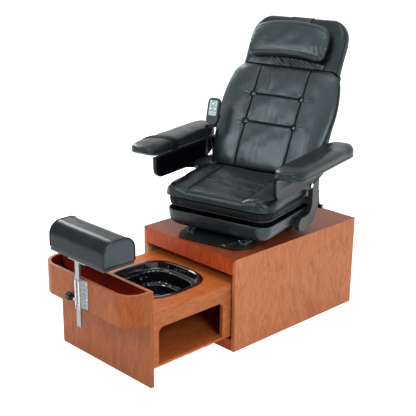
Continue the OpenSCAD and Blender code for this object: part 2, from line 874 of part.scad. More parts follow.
module seat_cushion() {
    half = function(y) seat_w / 2 - seat_taper * (y + seat_front) / (seat_front + seat_back)
        - corner_cut(y + seat_front, seat_r) - corner_cut(seat_back - y, 60);
    roll = function(d) fullness(max(0, 1 - d / 40), 2.2);
    crown = function(y) front_crown + (seat_crown - 14 - front_crown) * ease((y + seat_front - 10) / 370);
    swell = function(x, y) abs(x) < seam_x || y > -60 ? 0
        : side_roll * sin(180 * min(1, (abs(x) - seam_x) / (half(y) - seam_x))) * ease((-60 - y) / 60);
    back = function(y) y < -10 ? 1 : 1 - 0.75 * (y + 10) / (seat_back + 10);
    height = function(x, y) let (d = half(y) - abs(x), lines = channel(abs(x) - seam_x) * (y < 60 ? 1 : 0)
        + (abs(x) < seam_x ? max(channel(y - seam_low), channel(y - seam_high)) : 0))
        cushion_z + 14 + (crown(y) + swell(x, y)) * roll(y + seat_front) * back(y) * roll(d)
        - min(lines, channel_d) * min(1, d / 25) * min(1, (y + seat_front) / 60);
    face = function(i, j) let (y = seat_rows[j], x = column(i - columns, seam_x, half(y)))
        [x, y, height(x, y)];
    color(leather) turned() cushion_form(2 * columns, len(seat_rows) - 1, face,
        [[1.003, cushion_z + 9], [0.985, cushion_z + 3], [0.95, cushion_z]]);
}

// The massage controller, with a snout for the handset's cord
module control_box() {
    color(black) turned() {
        block([-110, shell_back - 140, seat_z + shell_t], [60, shell_back - 60, seat_z + shell_t + 60]);
        translate([-80, shell_back - 61, seat_z + 45]) rotate([-90, 0, 0])
            cylinder(h = 63, r = 8, $fn = 32);
    }
}

// Hooked arms that stand up outside the cushion from the seat pan's edge
module arm_brackets() {
    r1 = 115;
    r0 = 50;
    bend_y = -5;
    bend_z = border_z;
    color(black) turned() both_sides() difference() {
        union() {
            side_plate(arm_x, arm_bt) {
                intersection() {
                    translate([bend_y, bend_z]) difference() {
                        circle(r1, $fn = 96);
                        circle(r0, $fn = 96);
                    }
                    translate([bend_y, bend_z - r1 - 1]) square([r1 + 1, r1 + 1]);
                }
                translate([bend_y - 50, bend_z - r1]) square([51, r1 - r0]);
                translate([bend_y - 50, bend_z - (r1 + r0) / 2]) circle((r1 - r0) / 2);
                translate([bend_y + r0, bend_z - 1]) square([r1 - r0, pivot_z - bend_z]);
                translate([pivot_y, pivot_z - 22]) square([bend_y + r1 - pivot_y, 44]);
                translate([pivot_y, pivot_z]) circle(22);
            }
            block([shell_w / 2 - 19 + 0.2, bend_y + r0, pan_z], [arm_x + 1, bend_y + r1, pan_z + pan_t - 1]);
        }
        rod_x(arm_x - 1, panel_in, pivot_y, pivot_z, bolt_r + fit);
    }
}

module arm_pivots() {
    x2 = panel_in + panel_t;
    color("silver") turned() both_sides() {
        rod_x(arm_x, x2 + 1, pivot_y, pivot_z, bolt_r);
        rod_x(arm_x + arm_bt + 0.3, panel_in - 0.3, pivot_y, pivot_z, bolt_r + 4);
        rod_x(x2 + 0.3, x2 + 6, pivot_y, pivot_z, bolt_r + 5);
    }
}

recline_x = 242;
shaft_y = 135;
shaft_z = cushion_z - 12;

// Plates on the pan's back edge that carry the recline pins
module recline_brackets() {
    z = pan_z + pan_t;
    color(steel) turned() difference() {
        both_sides() {
            side_plate(recline_x, 8) {
                polygon([[97, z], [148, z], [146, shaft_z + 10], [122, hinge_z], [96, hinge_z]]);
                translate([hinge_y, hinge_z]) circle(16);
            }
            block([recline_x - 14, 97, z], [recline_x + 8, 148, z + 4]);
            rod_x(recline_x - 60, recline_x + 1, hinge_y, hinge_z, pin_r);
        }
        rod_x(recline_x - 1, recline_x + 9, shaft_y, shaft_z, 6 + fit);
    }
}

// Release lever: a shaft, a flat arm and a knob
module recline_lever() {
    color(black) turned() {
        rod_x(recline_x - 4, 299, shaft_y, shaft_z, 6);
        rod_x(293, 301, shaft_y, shaft_z, 11);
        translate([294.5, shaft_y, shaft_z]) rotate([14, 0, 0]) translate([0, -7, -82])
            cube([5, 14, 82]);
        translate([0, shaft_y, shaft_z]) rotate([14, 0, 0]) rod_x(293.5, 315, 0, -82, 11);
    }
}

// ---- Backrest, drawn lying in its own frame ----

hinge_s = (hinge_y - fold_y) * sin(back_lean) + (hinge_z - fold_z) * cos(back_lean);
hinge_n = (hinge_z - fold_z) * sin(back_lean) - (hinge_y - fold_y) * cos(back_lean);
motor_places = [[-95, 170], [95, 170], [-95, 370], [95, 370]];
motor_n = -back_t - board_back - 1;

// A board with two barrels that turn on the recline pins
module back_frame() {
    color("burlywood") on_back() difference() {
        union() {
            block([-230, 15, -back_t - board_back], [230, back_l - 20, -back_t]);
            block([2 - recline_x, hinge_s, -back_t - board_back], [recline_x - 2, 16, -back_t]);
            both_sides() rod_x(recline_x - 58, recline_x - 2, hinge_s, hinge_n, 14);
        }
        both_sides() rod_x(recline_x - 70, recline_x + 5, hinge_s, hinge_n, pin_r + fit);
    }
}

// A ring of the shell across the lean at s, from n0 to n1
function back_ring(s, half, n0, n1, r) =
    [for (p = ring(n1 - n0, 2 * half, min(r, (n1 - n0) / 2 - 0.5), 0, 6, [(n0 + n1) / 2, 0]))
        [p.y, s, p.x]];

// Rear body of the backrest; above the cushion it comes forward as the head section
module back_shell() {
    r = head_t / 2;
    rear = function(s) s > 640 ? head_n - head_t : rear_n + (head_n - head_t - rear_n) * s / 640;
    low = [for (s = [8, 40, 160, 320, back_l - 2])
        back_ring(s, head_w / 2 - 12 * pow(1 - s / back_l, 2), rear(s), motor_n, 22)];
    mid = [for (s = [back_l + 4, back_l + 60, 640, back_top - 110, back_top - 85])
        back_ring(s, head_w / 2 - corner_cut(back_top - s, 110), rear(s), head_n, 32)];
    high = [for (a = [0, 22, 42, 60, 76, 88]) let (s = back_top - r + r * sin(a), k = r - r * cos(a))
        back_ring(s, head_w / 2 - corner_cut(back_top - s + 8, 118), head_n - head_t + k, head_n - k, 32)];
    color(leather) on_back() difference() {
        ring_solid(concat(low, mid, high));
        for (p = motor_places) translate([p.x, p.y, motor_n - 26])
            cylinder(h = 40, r = 32, $fn = 32);
    }
}

module massage_motors() {
    color(steel) on_back() for (p = motor_places) translate([p.x, p.y, motor_n - 25])
        cylinder(h = 25.5, r = 30);
}

back_rows = concat([for (d = [0, 3, 12, 32]) d - back_low], [30, 75, 125, 165],
    [for (s = [tuft_low, tuft_high], d = [-12, -6, 0, 6, 12]) s + d],
    [245, 290], [back_l - 110, back_l - 70, back_l - 38, back_l - 16, back_l - 5, back_l]);
back_order = [for (s = [0:len(back_rows) - 1]) back_rows[s]];

function smaller(list, v) = len([for (x = list) if (x < v) 1]);
function sorted(list) = [for (k = [0:len(list) - 1]) [for (x = list) if (smaller(list, x) == k) x][0]];

// Half the cushion's width at s: widest at the shoulders
function back_half(s) = back_w / 2 - (s < 300 ? 35 * pow(1 - s / 300, 1.5) : 40 * pow((s - 300) / 215, 2))
    - corner_cut(back_l - s, 50) - corner_cut(s + back_low, 30);

module back_cushion() {
    rows = sorted(back_order);
    seam = tuft_gauge / 2;
    height = function(x, s) let (half = back_half(s), t = x / half, inside = abs(x) < seam,
        full = fullness(t, 5) * fullness(2 * (s + back_low) / (back_l + back_low) - 1, 7),
        lines = channel(abs(x) - seam) + (inside ? max(channel(s - tuft_low), channel(s - tuft_high)) : 0),
        wing = inside ? 0 : 7 * sin(180 * min(1, (abs(x) - seam) / (half - seam))))
        -20 + 28 * full + wing * full - min(lines, channel_d) * full;
    face = function(i, j) let (s = rows[j], x = column(i - columns, seam, back_half(s)))
        [x, s, height(x, s)];
    color(leather) on_back() difference() {
        cushion_form(2 * columns, len(rows) - 1, face,
            [[1.004, -30], [1, -42], [0.985, -54], [0.96, -back_t]]);
        for (sx = [-1, 1], s = [tuft_low, tuft_high])
            translate([sx * seam, s, -6]) cylinder(h = 30, r = button_r + 0.5, $fn = 32);
    }
}

module back_buttons() {
    color(black) on_back() for (sx = [-1, 1], s = [tuft_low, tuft_high])
        translate([sx * tuft_gauge / 2, s, -5.8]) {
            cylinder(h = 3, r = button_r);
            translate([0, 0, 3]) cylinder(h = 3, r1 = button_r, r2 = button_r * 0.55);
        }
}

// ---- Pillow ----

pillow_x = -14;
pillow_s = back_top - 145.5;
skirt_s = back_l + 5;
skirt_h = pillow_s - pillow_h / 2 + 4 - skirt_s;

// How far the pillow's upper and lower edges hang at share t of the way to an end
function top_sag(t) = 1.2 * pillow_sag * t * t;
function foot_sag(t) = 0.8 * pillow_sag * t * t;

// A neck roll with round corners, whose ends hang lower than its middle
module pillow() {
    rings = [for (t = [-0.999, -0.985, -0.955, -0.9, -0.8, -0.6, -0.3, 0, 0.3, 0.6, 0.8, 0.9, 0.955,
            0.985, 0.999])
        let (k = fullness(t, 5), cut = corner_cut((1 - abs(t)) * pillow_w / 2, pillow_r),
            a = (pillow_h - top_sag(t) + foot_sag(t)) / 2 - cut,
            c = -(top_sag(t) + foot_sag(t)) / 2)
        [for (p = oval(a, pillow_t / 2 * (0.12 + 0.88 * k), 2.8, 24))
            [pillow_x + t * pillow_w / 2, pillow_s + c + p.x, head_n + 3 + pillow_t / 2 + p.y]]];
    color(leather) on_back() ring_solid(rings);
}

// Gathered cloth from behind the pillow down to the cushion's top edge
module pillow_skirt() {
    nu = 64;
    rows = [0, 0.35, 0.7, 1];
    swell = function(t, v) 3.5 * ease((t + 0.5) * 4) * sin(360 * (t * nu / 8 + 0.4 * v) + 20);
    face = function(i, j) let (t = 2 * i / nu - 1, v = rows[j])
        [pillow_x + t * (pillow_w / 2 - 2), skirt_s + v * max(6, skirt_h - foot_sag(t)),
            head_n + 3 + (1 - v) * (6 + swell(t, v)) * (1 - 0.6 * pow(t, 6))];
    color(leather) on_back() cushion_form(nu, len(rows) - 1, face, [[0.998, head_n + 0.6]]);
}

module pillow_strap() {
    r = head_t / 2;
    s = back_top - r;
    n = head_n - r;
    gap = 0.4;
    t = 3;
    color(black) on_back() side_plate(-strap_w / 2, strap_w) {
        intersection() {
            translate([s, n]) difference() {
                circle(r + gap + t, $fn = 96);
                circle(r + gap, $fn = 96);
            }
            translate([s, n - r - 10]) square([r + 10, 2 * r + 20]);
        }
        translate([s - 55, head_n + gap]) square([56, t - 0.4]);
        translate([s - 70, head_n - head_t - gap - t]) square([71, t]);
    }
}

// ---- Armrests ----

// Section of a pad: crowned above, squarer below
function pad_section(b, top, low) = [for (i = [0:21])
    let (t = 360 * i / 22, up = cos(t) > 0, p = up ? 2.8 : 6, a = up ? top : low)
    [a * signed_power(cos(t), 2 / p), b * signed_power(sin(t), 2 / p)]];

// How wide a pad's rounded nose is, as a share, at distance v from its tip
function nose(v) = v >= arm_nose ? 1 : pow(1 - pow(1 - v / arm_nose, 2.4), 1 / 2.4);

// A boat-like pad: round at its tip, where its underside rises
module arm_pad() {
    ends = [0, 3, 10, 22, 40, 64];
    places = concat([0.4, 3, 9, 19, 34, 52, 72, arm_nose],
        [for (k = [1:4]) arm_nose + (arm_l - arm_nose - 64) * k / 5],
        [for (k = [5:-1:0]) arm_l - ends[k]]);
    h = arm_t / 2;
    rings = [for (v = places) let (d = arm_l - v,
        b = arm_w / 2 * nose(v) - corner_cut(d, 64) * 0.86,
        tip = 1 - min(1, v / arm_nose), end = corner_cut(d, 26) * 0.75,
        mid = 6 * tip * tip, top = h - 9 * tip * tip - 6 * pow(tip, 8) - mid - end,
        low = h - 20 * tip * tip - 5 * pow(tip, 8) + mid - end)
        [for (p = pad_section(b, top, low))
            [panel_in + arm_w / 2 + p.y, v - arm_front, pad_z + h + mid + p.x]]];
    color(leather) turned() ring_solid(rings);
}

module arm_pad_right() {
    arm_pad();
}

module arm_pad_left() {
    rotate([0, 0, seat_yaw]) mirror([1, 0, 0]) rotate([0, 0, -seat_yaw]) arm_pad();
}

// The upholstered plate under a pad, with the eye for its pivot bolt
module arm_panel(side) {
    r = 50;
    y0 = 45 - arm_front;
    z0 = pad_z - panel_h;
    x0 = side > 0 ? panel_in : -panel_in - panel_t;
    color(leather) turned() difference() {
        side_plate(x0, panel_t) {
            polygon([[y0, pad_z], [y0, z0 + r], [y0 + r, z0 + r], [y0 + r, z0],
                [pivot_y - 90, z0 - 4], [pivot_y + 5, pivot_z - 20], [pivot_y + 45, pivot_z],
                [arm_back - 95, pivot_z + 25],
                [arm_back - 12, pad_z - 32], [arm_back - 12, pad_z]]);
            translate([y0 + r, z0 + r]) circle(r, $fn = 96);
        }
        rod_x(x0 - 1, x0 + panel_t + 1, pivot_y, pivot_z, bolt_r + fit);
    }
}

module arm_panel_left() {
    arm_panel(-1);
}

module arm_panel_right() {
    arm_panel(1);
}

// ---- Handset ----

key_places = [[0, 104], [-13, 78], [13, 78]];
panel_l = 84;

// A clip, a back plate and a forked ledge, on a stalk that stands on the left arm bracket
module handset_holder() {
    color(black) {
        on_handset() difference() {
            union() {
                block([-hand_w / 2 - 2.6, 34, -4], [hand_w / 2 + 2.6, 52, hand_t - 5]);
                block([-22, -14, -4], [22, 60, -0.4]);
                block([-15, -5, -3], [15, -0.4, 15]);
            }
            block([-hand_w / 2 - 0.5, -0.3, -0.4], [hand_w / 2 + 0.5, 56, hand_t + 0.4]);
            block([-4.5, -6, 6], [4.5, 0, 16]);
        }
        turned() {
            block([-panel_in + 2, 52, pivot_z + 22], [-arm_x, 78, pivot_z + 26]);
            block([-panel_in + 2, 58, pivot_z + 25], [-panel_in + 6, 80, hand_z - 4]);
            block([-panel_in + 2, 72, hand_z - 13], [hand_x + 8, 84, hand_z - 4]);
        }
    }
}

module handset_case() {
    color(black) on_handset() difference() {
        translate([0, hand_l / 2, 0]) linear_extrude(hand_t) round_rect(hand_w, hand_l, 25);
        translate([0, hand_l - 8 - panel_l / 2, hand_t - 1]) linear_extrude(2)
            round_rect(hand_w - 11.4, panel_l + 0.6, 18.3);
        for (p = key_places) translate([p.x, p.y, hand_t - 6]) linear_extrude(7)
            round_rect(key_s + 1, key_s + 1, 2.5);
    }
}

// The pale face, with an opening for each key
module handset_panel() {
    color("lightblue") on_handset() difference() {
        translate([0, hand_l - 8 - panel_l / 2, hand_t - 1]) linear_extrude(1)
            round_rect(hand_w - 12, panel_l, 18);
        for (p = key_places) translate([p.x, p.y, hand_t - 2]) linear_extrude(3)
            round_rect(key_s + 1, key_s + 1, 2.5);
    }
}

module key(k) {
    color("whitesmoke") on_handset() translate([key_places[k].x, key_places[k].y, hand_t - 4.5])
        linear_extrude(6) round_rect(key_s, key_s, 2);
}

// ---- Cord ----

function unit(v) = v / norm(v);

// A smooth curve through points, with two steps to each gap
function smooth(p) = [for (i = [0:len(p) - 2], t = [0, 0.5])
    let (a = p[max(0, i - 1)], b = p[i], c = p[i + 1], d = p[min(len(p) - 1, i + 2)])
    t == 0 ? b : (9 * (b + c) - a - d) / 16];

function tangents(p) = [for (i = [0:len(p) - 1]) unit(p[min(len(p) - 1, i + 1)] - p[max(0, i - 1)])];

// A direction square to each tangent, carried along the curve without twisting
function carried(t, k = 0, n = [1, 0, 0]) = k >= len(t) ? []
    : let (m = unit(n - (n * t[k]) * t[k])) concat([m], carried(t, k + 1, m));

module tube(points, r, sides = 8) {
    p = concat(smooth(points), [points[len(points) - 1]]);
    t = tangents(p);
    n = carried(t);
    ring_solid([for (k = [0:len(p) - 1]) let (u = n[k], v = cross(t[k], u))
        [for (i = [0:sides - 1]) let (a = 360 * i / sides) p[k] + r * (cos(a) * u + sin(a) * v)]]);
}

module handset_cord() {
    color(black) turned() translate([0, 0, seat_z - 500]) tube(cord_points, cord_r);
}

cabinet_side_left();
cabinet_side_right();
cabinet_top();
cabinet_apron();
cabinet_back();
cabinet_plinth();
cabinet_base();
runner_bearers();
corner_blocks();
runner_outers();
swivel_ring();
runner_middles();
drawer_front();
tray_wall();
tray_floor();
drawer_side_left();
drawer_side_right();
drawer_deck();
drawer_floor();
drawer_back();
runner_inners();
footrest_bracket();
bracket_screws();
basin_tub();
footrest_post();
footrest_board();
footrest_cushion();
clamp_knob();
swivel_plate();
rail_lowers();
slide_lever();
rail_uppers();
seat_shell();
seat_frame();
seat_border();
seat_cushion();
control_box();
arm_brackets();
arm_pivots();
recline_brackets();
handset_holder();
handset_cord();
recline_lever();
back_frame();
back_shell();
back_cushion();
back_buttons();
massage_motors();
pillow();
pillow_skirt();
pillow_strap();
arm_pad_left();
arm_pad_right();
arm_panel_left();
arm_panel_right();
handset_case();
handset_panel();
key(0);  // key_1
key(1);  // key_2
key(2);  // key_3
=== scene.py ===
import math
import bmesh
import bpy
import numpy as np
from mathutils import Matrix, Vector


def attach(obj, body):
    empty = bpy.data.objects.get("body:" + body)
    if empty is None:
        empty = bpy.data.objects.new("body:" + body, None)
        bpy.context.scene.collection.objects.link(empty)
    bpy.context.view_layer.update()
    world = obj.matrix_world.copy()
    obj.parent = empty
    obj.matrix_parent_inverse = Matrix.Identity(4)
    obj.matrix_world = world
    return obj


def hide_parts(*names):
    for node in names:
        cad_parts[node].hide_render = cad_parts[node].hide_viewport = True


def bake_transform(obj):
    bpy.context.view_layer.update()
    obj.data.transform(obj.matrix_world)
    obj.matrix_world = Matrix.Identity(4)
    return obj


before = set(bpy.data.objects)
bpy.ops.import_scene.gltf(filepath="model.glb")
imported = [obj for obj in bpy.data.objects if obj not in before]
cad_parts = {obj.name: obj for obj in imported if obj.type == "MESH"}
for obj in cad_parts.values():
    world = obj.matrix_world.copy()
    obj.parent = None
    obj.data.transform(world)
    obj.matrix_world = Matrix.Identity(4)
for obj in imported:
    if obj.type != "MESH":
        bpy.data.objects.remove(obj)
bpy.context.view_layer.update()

MM = 0.001
YAW = math.radians(13.0)         # turn of the chair on its cabinet
LEAN = math.radians(30.0)        # lean of the back
HAND_LEAN = math.radians(14.0)   # lean of the handset

# ---------------------------------------------------------------- camera
cam_data = bpy.data.cameras.new("photo_camera")
cam = bpy.data.objects.new("photo_camera", cam_data)
bpy.context.scene.collection.objects.link(cam)
cam.location = (3.1252, -3.3791, 2.0844)
cam.rotation_euler = (math.radians(90 - 20.128), 0, math.radians(47.296))
cam_data.sensor_width = 36.0
cam_data.lens = 83.52
cam_data.shift_x = 0.0704
cam_data.shift_y = 0.0600
cam_data.clip_start = 0.05
cam_data.clip_end = 100
bpy.context.scene.camera = cam


# ---------------------------------------------------------------- places
def plain_place(p):
    """Millimetres to the frame's metres."""
    return np.asarray(p, float) * MM


def seat_place(p):
    """Chair-local millimetres to the frame's metres."""
    x, y, z = np.moveaxis(np.asarray(p, float), -1, 0)
    turned_x = x * math.cos(YAW) - y * math.sin(YAW)
    turned_y = x * math.sin(YAW) + y * math.cos(YAW)
    return np.stack([turned_x, turned_y, z], -1) * MM


def leaning(p, lean, x0, y0, z0):
    """Points given across, up a leaning face and out of it, to the frame's metres."""
    x, up, out = np.moveaxis(np.asarray(p, float), -1, 0)
    y = y0 + up * math.sin(lean) - out * math.cos(lean)
    z = z0 + up * math.cos(lean) + out * math.sin(lean)
    return seat_place(np.stack([x + x0, y, z], -1))


def back_place(p):
    """Backrest millimetres: x across, s up the lean, n out of the front."""
    return leaning(p, LEAN, 0, 56, 757)


def hand_place(p):
    """Handset millimetres: x across, u up its length, o out of its front."""
    return leaning(p, HAND_LEAN, -281, 76, 912)


def side_place(side):
    """Chair-local millimetres of the right armrest, mirrored for the left one."""
    return lambda p: seat_place(np.asarray(p, float) * (side, 1, 1))


# ---------------------------------------------------------------- mesh tools
def add_object(name, mesh):
    obj = bpy.data.objects.new(name, mesh)
    bpy.context.scene.collection.objects.link(obj)
    return obj


def make_mesh(name, verts, faces, material, smooth=True, sharp=None):
    """An object from points in metres. Edges over the sharp angle stay crisp."""
    mesh = bpy.data.meshes.new(name)
    mesh.from_pydata([tuple(v) for v in verts], [], [tuple(int(i) for i in f) for f in faces])
    mesh.update()
    bm = bmesh.new()
    bm.from_mesh(mesh)
    bmesh.ops.remove_doubles(bm, verts=bm.verts, dist=1e-6)
    bmesh.ops.recalc_face_normals(bm, faces=bm.faces)
    for f in bm.faces:
        f.smooth = smooth
    if sharp:
        for e in bm.edges:
            if len(e.link_faces) == 2 and e.calc_face_angle(0) > math.radians(sharp):
                e.smooth = False
    bm.to_mesh(mesh)
    bm.free()
    mesh.materials.append(material)
    return add_object(name, mesh)


def loft(name, rings, place, material, caps="fan", closed=False, smooth=True, sharp=None):
    """A skin through rings of equal length, with fans or single faces over its ends."""
    rings = np.asarray(rings, float)
    m, n = rings.shape[:2]
    verts = rings.reshape(-1, 3)
    faces = []
    for k in range(m if closed else m - 1):
        k2 = (k + 1) % m
        for i in range(n):
            j = (i + 1) % n
            faces.append((k * n + i, k * n + j, k2 * n + j, k2 * n + i))
    if not closed:
        for k in (0, m - 1):
            rim = range(k * n, (k + 1) * n)
            if caps == "face":
                faces.append(tuple(rim))
                continue
            centre = len(verts)
            verts = np.vstack([verts, rings[k].mean(0)])
            faces += [(a, k * n + (a + 1) % n, centre) for a in rim]
    return make_mesh(name, place(verts), faces, material, smooth, sharp)


def tube(name, path, radius, material, sides=8, closed=False, up=(0, 0, 1)):
    """A round tube along a path in metres, without twist."""
    path = np.asarray(path, float)
    if closed:
        t = np.roll(path, -1, 0) - np.roll(path, 1, 0)
    else:
        t = np.gradient(path, axis=0)
    t /= np.linalg.norm(t, axis=1)[:, None]
    n = np.array(up, float)
    if abs(n @ t[0]) > 0.9:
        n = np.array((1.0, 0, 0))
    a = np.arange(sides) * 2 * math.pi / sides
    rings = []
    for point, along in zip(path, t):
        n = n - (n @ along) * along
        n /= np.linalg.norm(n)
        b = np.cross(along, n)
        rings.append(point + radius * (np.cos(a)[:, None] * n + np.sin(a)[:, None] * b))
    return loft(name, rings, np.asarray, material, closed=closed)


def rod(p0, p1, radius, material, sides=40):
    """A straight round bar that cuts a hole."""
    return tube("hole", [p0, p0 + (p1 - p0) * 0.5, p1], radius, material, sides)


def join(objs, name):
    """One object from several, with their material slots kept."""
    bm = bmesh.new()
    mats = []
    for o in objs:
        start = len(bm.faces)
        remap = []
        for m in o.data.materials:
            if m not in mats:
                mats.append(m)
            remap.append(mats.index(m))
        bm.from_mesh(o.data)
        bm.faces.ensure_lookup_table()
        for f in bm.faces[start:]:
            f.material_index = remap[min(f.material_index, len(remap) - 1)]
        bpy.data.objects.remove(o)
    mesh = bpy.data.meshes.new(name)
    bm.to_mesh(mesh)
    bm.free()
    for m in mats:
        mesh.materials.append(m)
    return add_object(name, mesh)


def cut(obj, cutters):
    """Boolean difference, applied."""
    for c in cutters:
        mod = obj.modifiers.new("cut", "BOOLEAN")
        mod.operation = "DIFFERENCE"
        mod.solver = "EXACT"
        mod.object = c
        dg = bpy.context.evaluated_depsgraph_get()
        dg.update()
        new = bpy.data.meshes.new_from_object(obj.evaluated_get(dg))
        obj.modifiers.clear()
        obj.data = new
        bpy.data.objects.remove(c)


def second_material(obj, material, where):
    """Gives a second material to the faces for which where(face) holds."""
    obj.data.materials.append(material)
    for face in obj.data.polygons:
        if where(face):
            face.material_index = 1


def dress(obj, body, slot, *nodes):
    """Puts a piece on its body, in the place of the nodes that it stands for."""
    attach(obj, body)
    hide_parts(*nodes)
    return obj


# ---------------------------------------------------------------- form tools
class Uneven:
    """Smooth repeatable unevenness: a sum of waves with seeded directions."""

    def __init__(self, seed, lo, hi, stretch=(1, 1, 1)):
        rng = np.random.default_rng(seed)
        count = 14
        d = rng.normal(size=(count, 3))
        d /= np.linalg.norm(d, axis=1)[:, None]
        wave = np.exp(rng.uniform(math.log(lo), math.log(hi), count))
        self.k = d * np.array(stretch) * (2 * math.pi / wave)[:, None]
        self.phase = rng.uniform(0, 2 * math.pi, count)
        self.amp = wave / wave.mean()
        self.amp /= np.sqrt((self.amp ** 2).sum() / 2)

    def __call__(self, p):
        p = np.asarray(p, float)
        return (np.sin(p @ self.k.T + self.phase) * self.amp).sum(-1)


def corner_cut(d, r):
    """How far a corner of radius r draws an edge in at distance d from its end."""
    d = np.clip(np.asarray(d, float), 0, r)
    return r - np.sqrt(np.maximum(0, r * r - (r - d) ** 2))


def fullness(t, p=4):
    """1 in the middle, falling to 0 at t = 1 or -1."""
    return np.sqrt(np.maximum(0, 1 - np.minimum(1, np.abs(t)) ** p))


def groove(d, half=6.0):
    """1 on a sewn line, falling to 0 over a little more than its half width."""
    return np.exp(-np.asarray(d, float) ** 2 / (half * half / 2))


def bell(d, width):
    """1 at d = 0, falling smoothly on both sides."""
    return np.exp(-(d / width) ** 2)


def ease(t):
    """0 up to t = 0 and 1 from t = 1, with a smooth rise between."""
    t = np.clip(t, 0, 1)
    return t * t * (3 - 2 * t)


def hump(t):
    """0 at both ends of 0 to 1, and 1 in the middle."""
    return np.sin(math.pi * np.clip(t, 0, 1))


def bent(v, p):
    """A sine or cosine bent to the curve of a superellipse of power p."""
    return np.copysign(np.abs(v) ** (2 / p), v)


def unit(d):
    """The rows of d, each with a length of 1."""
    return d / np.maximum(1e-6, np.linalg.norm(d, axis=1))[:, None]


def rounded_ring(w, d, r, z, n=16, c=(0, 0), straight=6):
    """Points round a rounded rectangle, anticlockwise from its +x side."""
    arcs = []
    for q, (sx, sy) in enumerate(((1, 1), (-1, 1), (-1, -1), (1, -1))):
        a = np.linspace(q * math.pi / 2, (q + 1) * math.pi / 2, n)
        arcs.append(np.stack([c[0] + sx * (w / 2 - r) + r * np.cos(a),
                              c[1] + sy * (d / 2 - r) + r * np.sin(a)], -1))
    pts = []
    for q in range(4):
        pts.append(arcs[q])
        a, b = arcs[q][-1], arcs[(q + 1) % 4][0]
        pts.append(a + (b - a) * (np.arange(1, straight + 1) / (straight + 1))[:, None])
    xy = np.concatenate(pts)
    return np.concatenate([xy, np.full((len(xy), 1), float(z))], 1)


def even_path(loop, count):
    """A closed loop with its points spaced evenly."""
    closed = np.r_[loop, loop[:1]]
    d = np.r_[0, np.cumsum(np.linalg.norm(np.diff(closed, axis=0), axis=1))]
    u = np.linspace(0, d[-1], count + 1)[:-1]
    return np.stack([np.interp(u, d, closed[:, k]) for k in range(3)], -1)


# ---------------------------------------------------------------- materials
def srgb(rgb):
    """A written colour of 0 to 255 as the linear colour that a shader takes."""
    linear = []
    for c in rgb:
        c /= 255.0
        linear.append(c / 12.92 if c <= 0.04045 else ((c + 0.055) / 1.055) ** 2.4)
    return (*linear, 1.0)


class Graph:
    """A node tree, with the steps that the materials and the world share."""

    def __init__(self, tree):
        self.nodes = tree.nodes
        self.links = tree.links
        self.bsdf = tree.nodes.get("Principled BSDF")

    def feed(self, socket, value):
        """Gives a socket a link or a value of its own."""
        if isinstance(value, bpy.types.NodeSocket):
            self.links.new(value, socket)
        else:
            socket.default_value = value

    def node(self, kind, inputs=None, **settings):
        n = self.nodes.new("ShaderNode" + kind)
        for key, value in settings.items():
            setattr(n, key, value)
        for key, value in (inputs or {}).items():
            self.feed(n.inputs[key], value)
        return n

    def shade(self, **inputs):
        """Sets inputs of the main shader. A name's underscores stand for spaces."""
        for key, value in inputs.items():
            self.feed(self.bsdf.inputs[key.replace("_", " ")], value)

    def coordinates(self, scale=(1, 1, 1), offset=(0, 0, 0)):
        own = self.node("TexCoord").outputs["Object"]
        moved = self.node("Mapping", {"Vector": own, "Scale": scale, "Location": offset})
        return moved.outputs["Vector"]

    def noise(self, vector, scale, detail, rough, distortion=0.0):
        return self.node("TexNoise", {"Vector": vector, "Scale": scale, "Detail": detail, "Roughness": rough,
                                      "Distortion": distortion}).outputs["Fac"]

    def ramp(self, value, *stops):
        r = self.node("ValToRGB", {"Fac": value})
        elements = r.color_ramp.elements
        while len(elements) < len(stops):
            elements.new(0.5)
        for e, (position, color) in zip(elements, stops):
            e.position = position
            e.color = color
        return r.outputs["Color"]

    def span(self, value, low, high):
        """A value of 0 to 1 as one of low to high."""
        return self.node("MapRange", {"Value": value, "To Min": low, "To Max": high}).outputs["Result"]

    def mix(self, share, a, b, mode="MIX"):
        return self.node("Mix", data_type="RGBA", blend_type=mode, inputs={0: share, 6: a, 7: b}).outputs[2]

    def calc(self, operation, *values):
        return self.node("Math", dict(enumerate(values)), operation=operation).outputs[0]

    def bump(self, height, strength, distance, below=None):
        """A bump over the one below it, linked to the main shader."""
        b = self.node("Bump", {"Height": height, "Strength": strength, "Distance": distance})
        if below is not None:
            self.feed(b.inputs["Normal"], below)
        self.shade(Normal=b.outputs["Normal"])
        return b.outputs["Normal"]

    def where_and_way(self):
        """An object's own coordinates and normal, as X, Y, Z sockets."""
        tc = self.node("TexCoord")
        return [list(self.node("SeparateXYZ", {0: tc.outputs[key]}).outputs) for key in ("Object", "Normal")]

    def whitening(self):
        """1 for the rays of the camera, of glass and of reflections, 0 for the others."""
        path = self.node("LightPath").outputs
        through = self.calc("MAXIMUM", path["Is Camera Ray"], path["Is Transmission Ray"])
        return self.calc("MAXIMUM", through, path["Is Glossy Ray"])


def new_material(name):
    m = bpy.data.materials.new(name)
    m.use_nodes = True
    return m, Graph(m.node_tree)


def faces_inward(g, centre_y=None):
    """1 on the faces that look towards the plane x = 0, or towards the line at centre_y."""
    p, n = g.where_and_way()
    toward = g.calc("MULTIPLY", g.calc("MULTIPLY", p[0], -1.0), n[0])
    if centre_y is not None:
        dy = g.calc("SUBTRACT", centre_y, p[1])
        toward = g.calc("ADD", toward, g.calc("MULTIPLY", dy, n[1]))
    return g.calc("GREATER_THAN", toward, 0.004)


def trough_back(g):
    """1 on the part of the drawer front that the trough covers."""
    p, n = g.where_and_way()
    front = g.calc("LESS_THAN", n[1], -0.5)
    high = g.calc("GREATER_THAN", p[2], 0.312)
    between = g.calc("LESS_THAN", g.calc("ABSOLUTE", p[0]), 0.3015)
    return g.calc("MULTIPLY", g.calc("MULTIPLY", front, high), between)


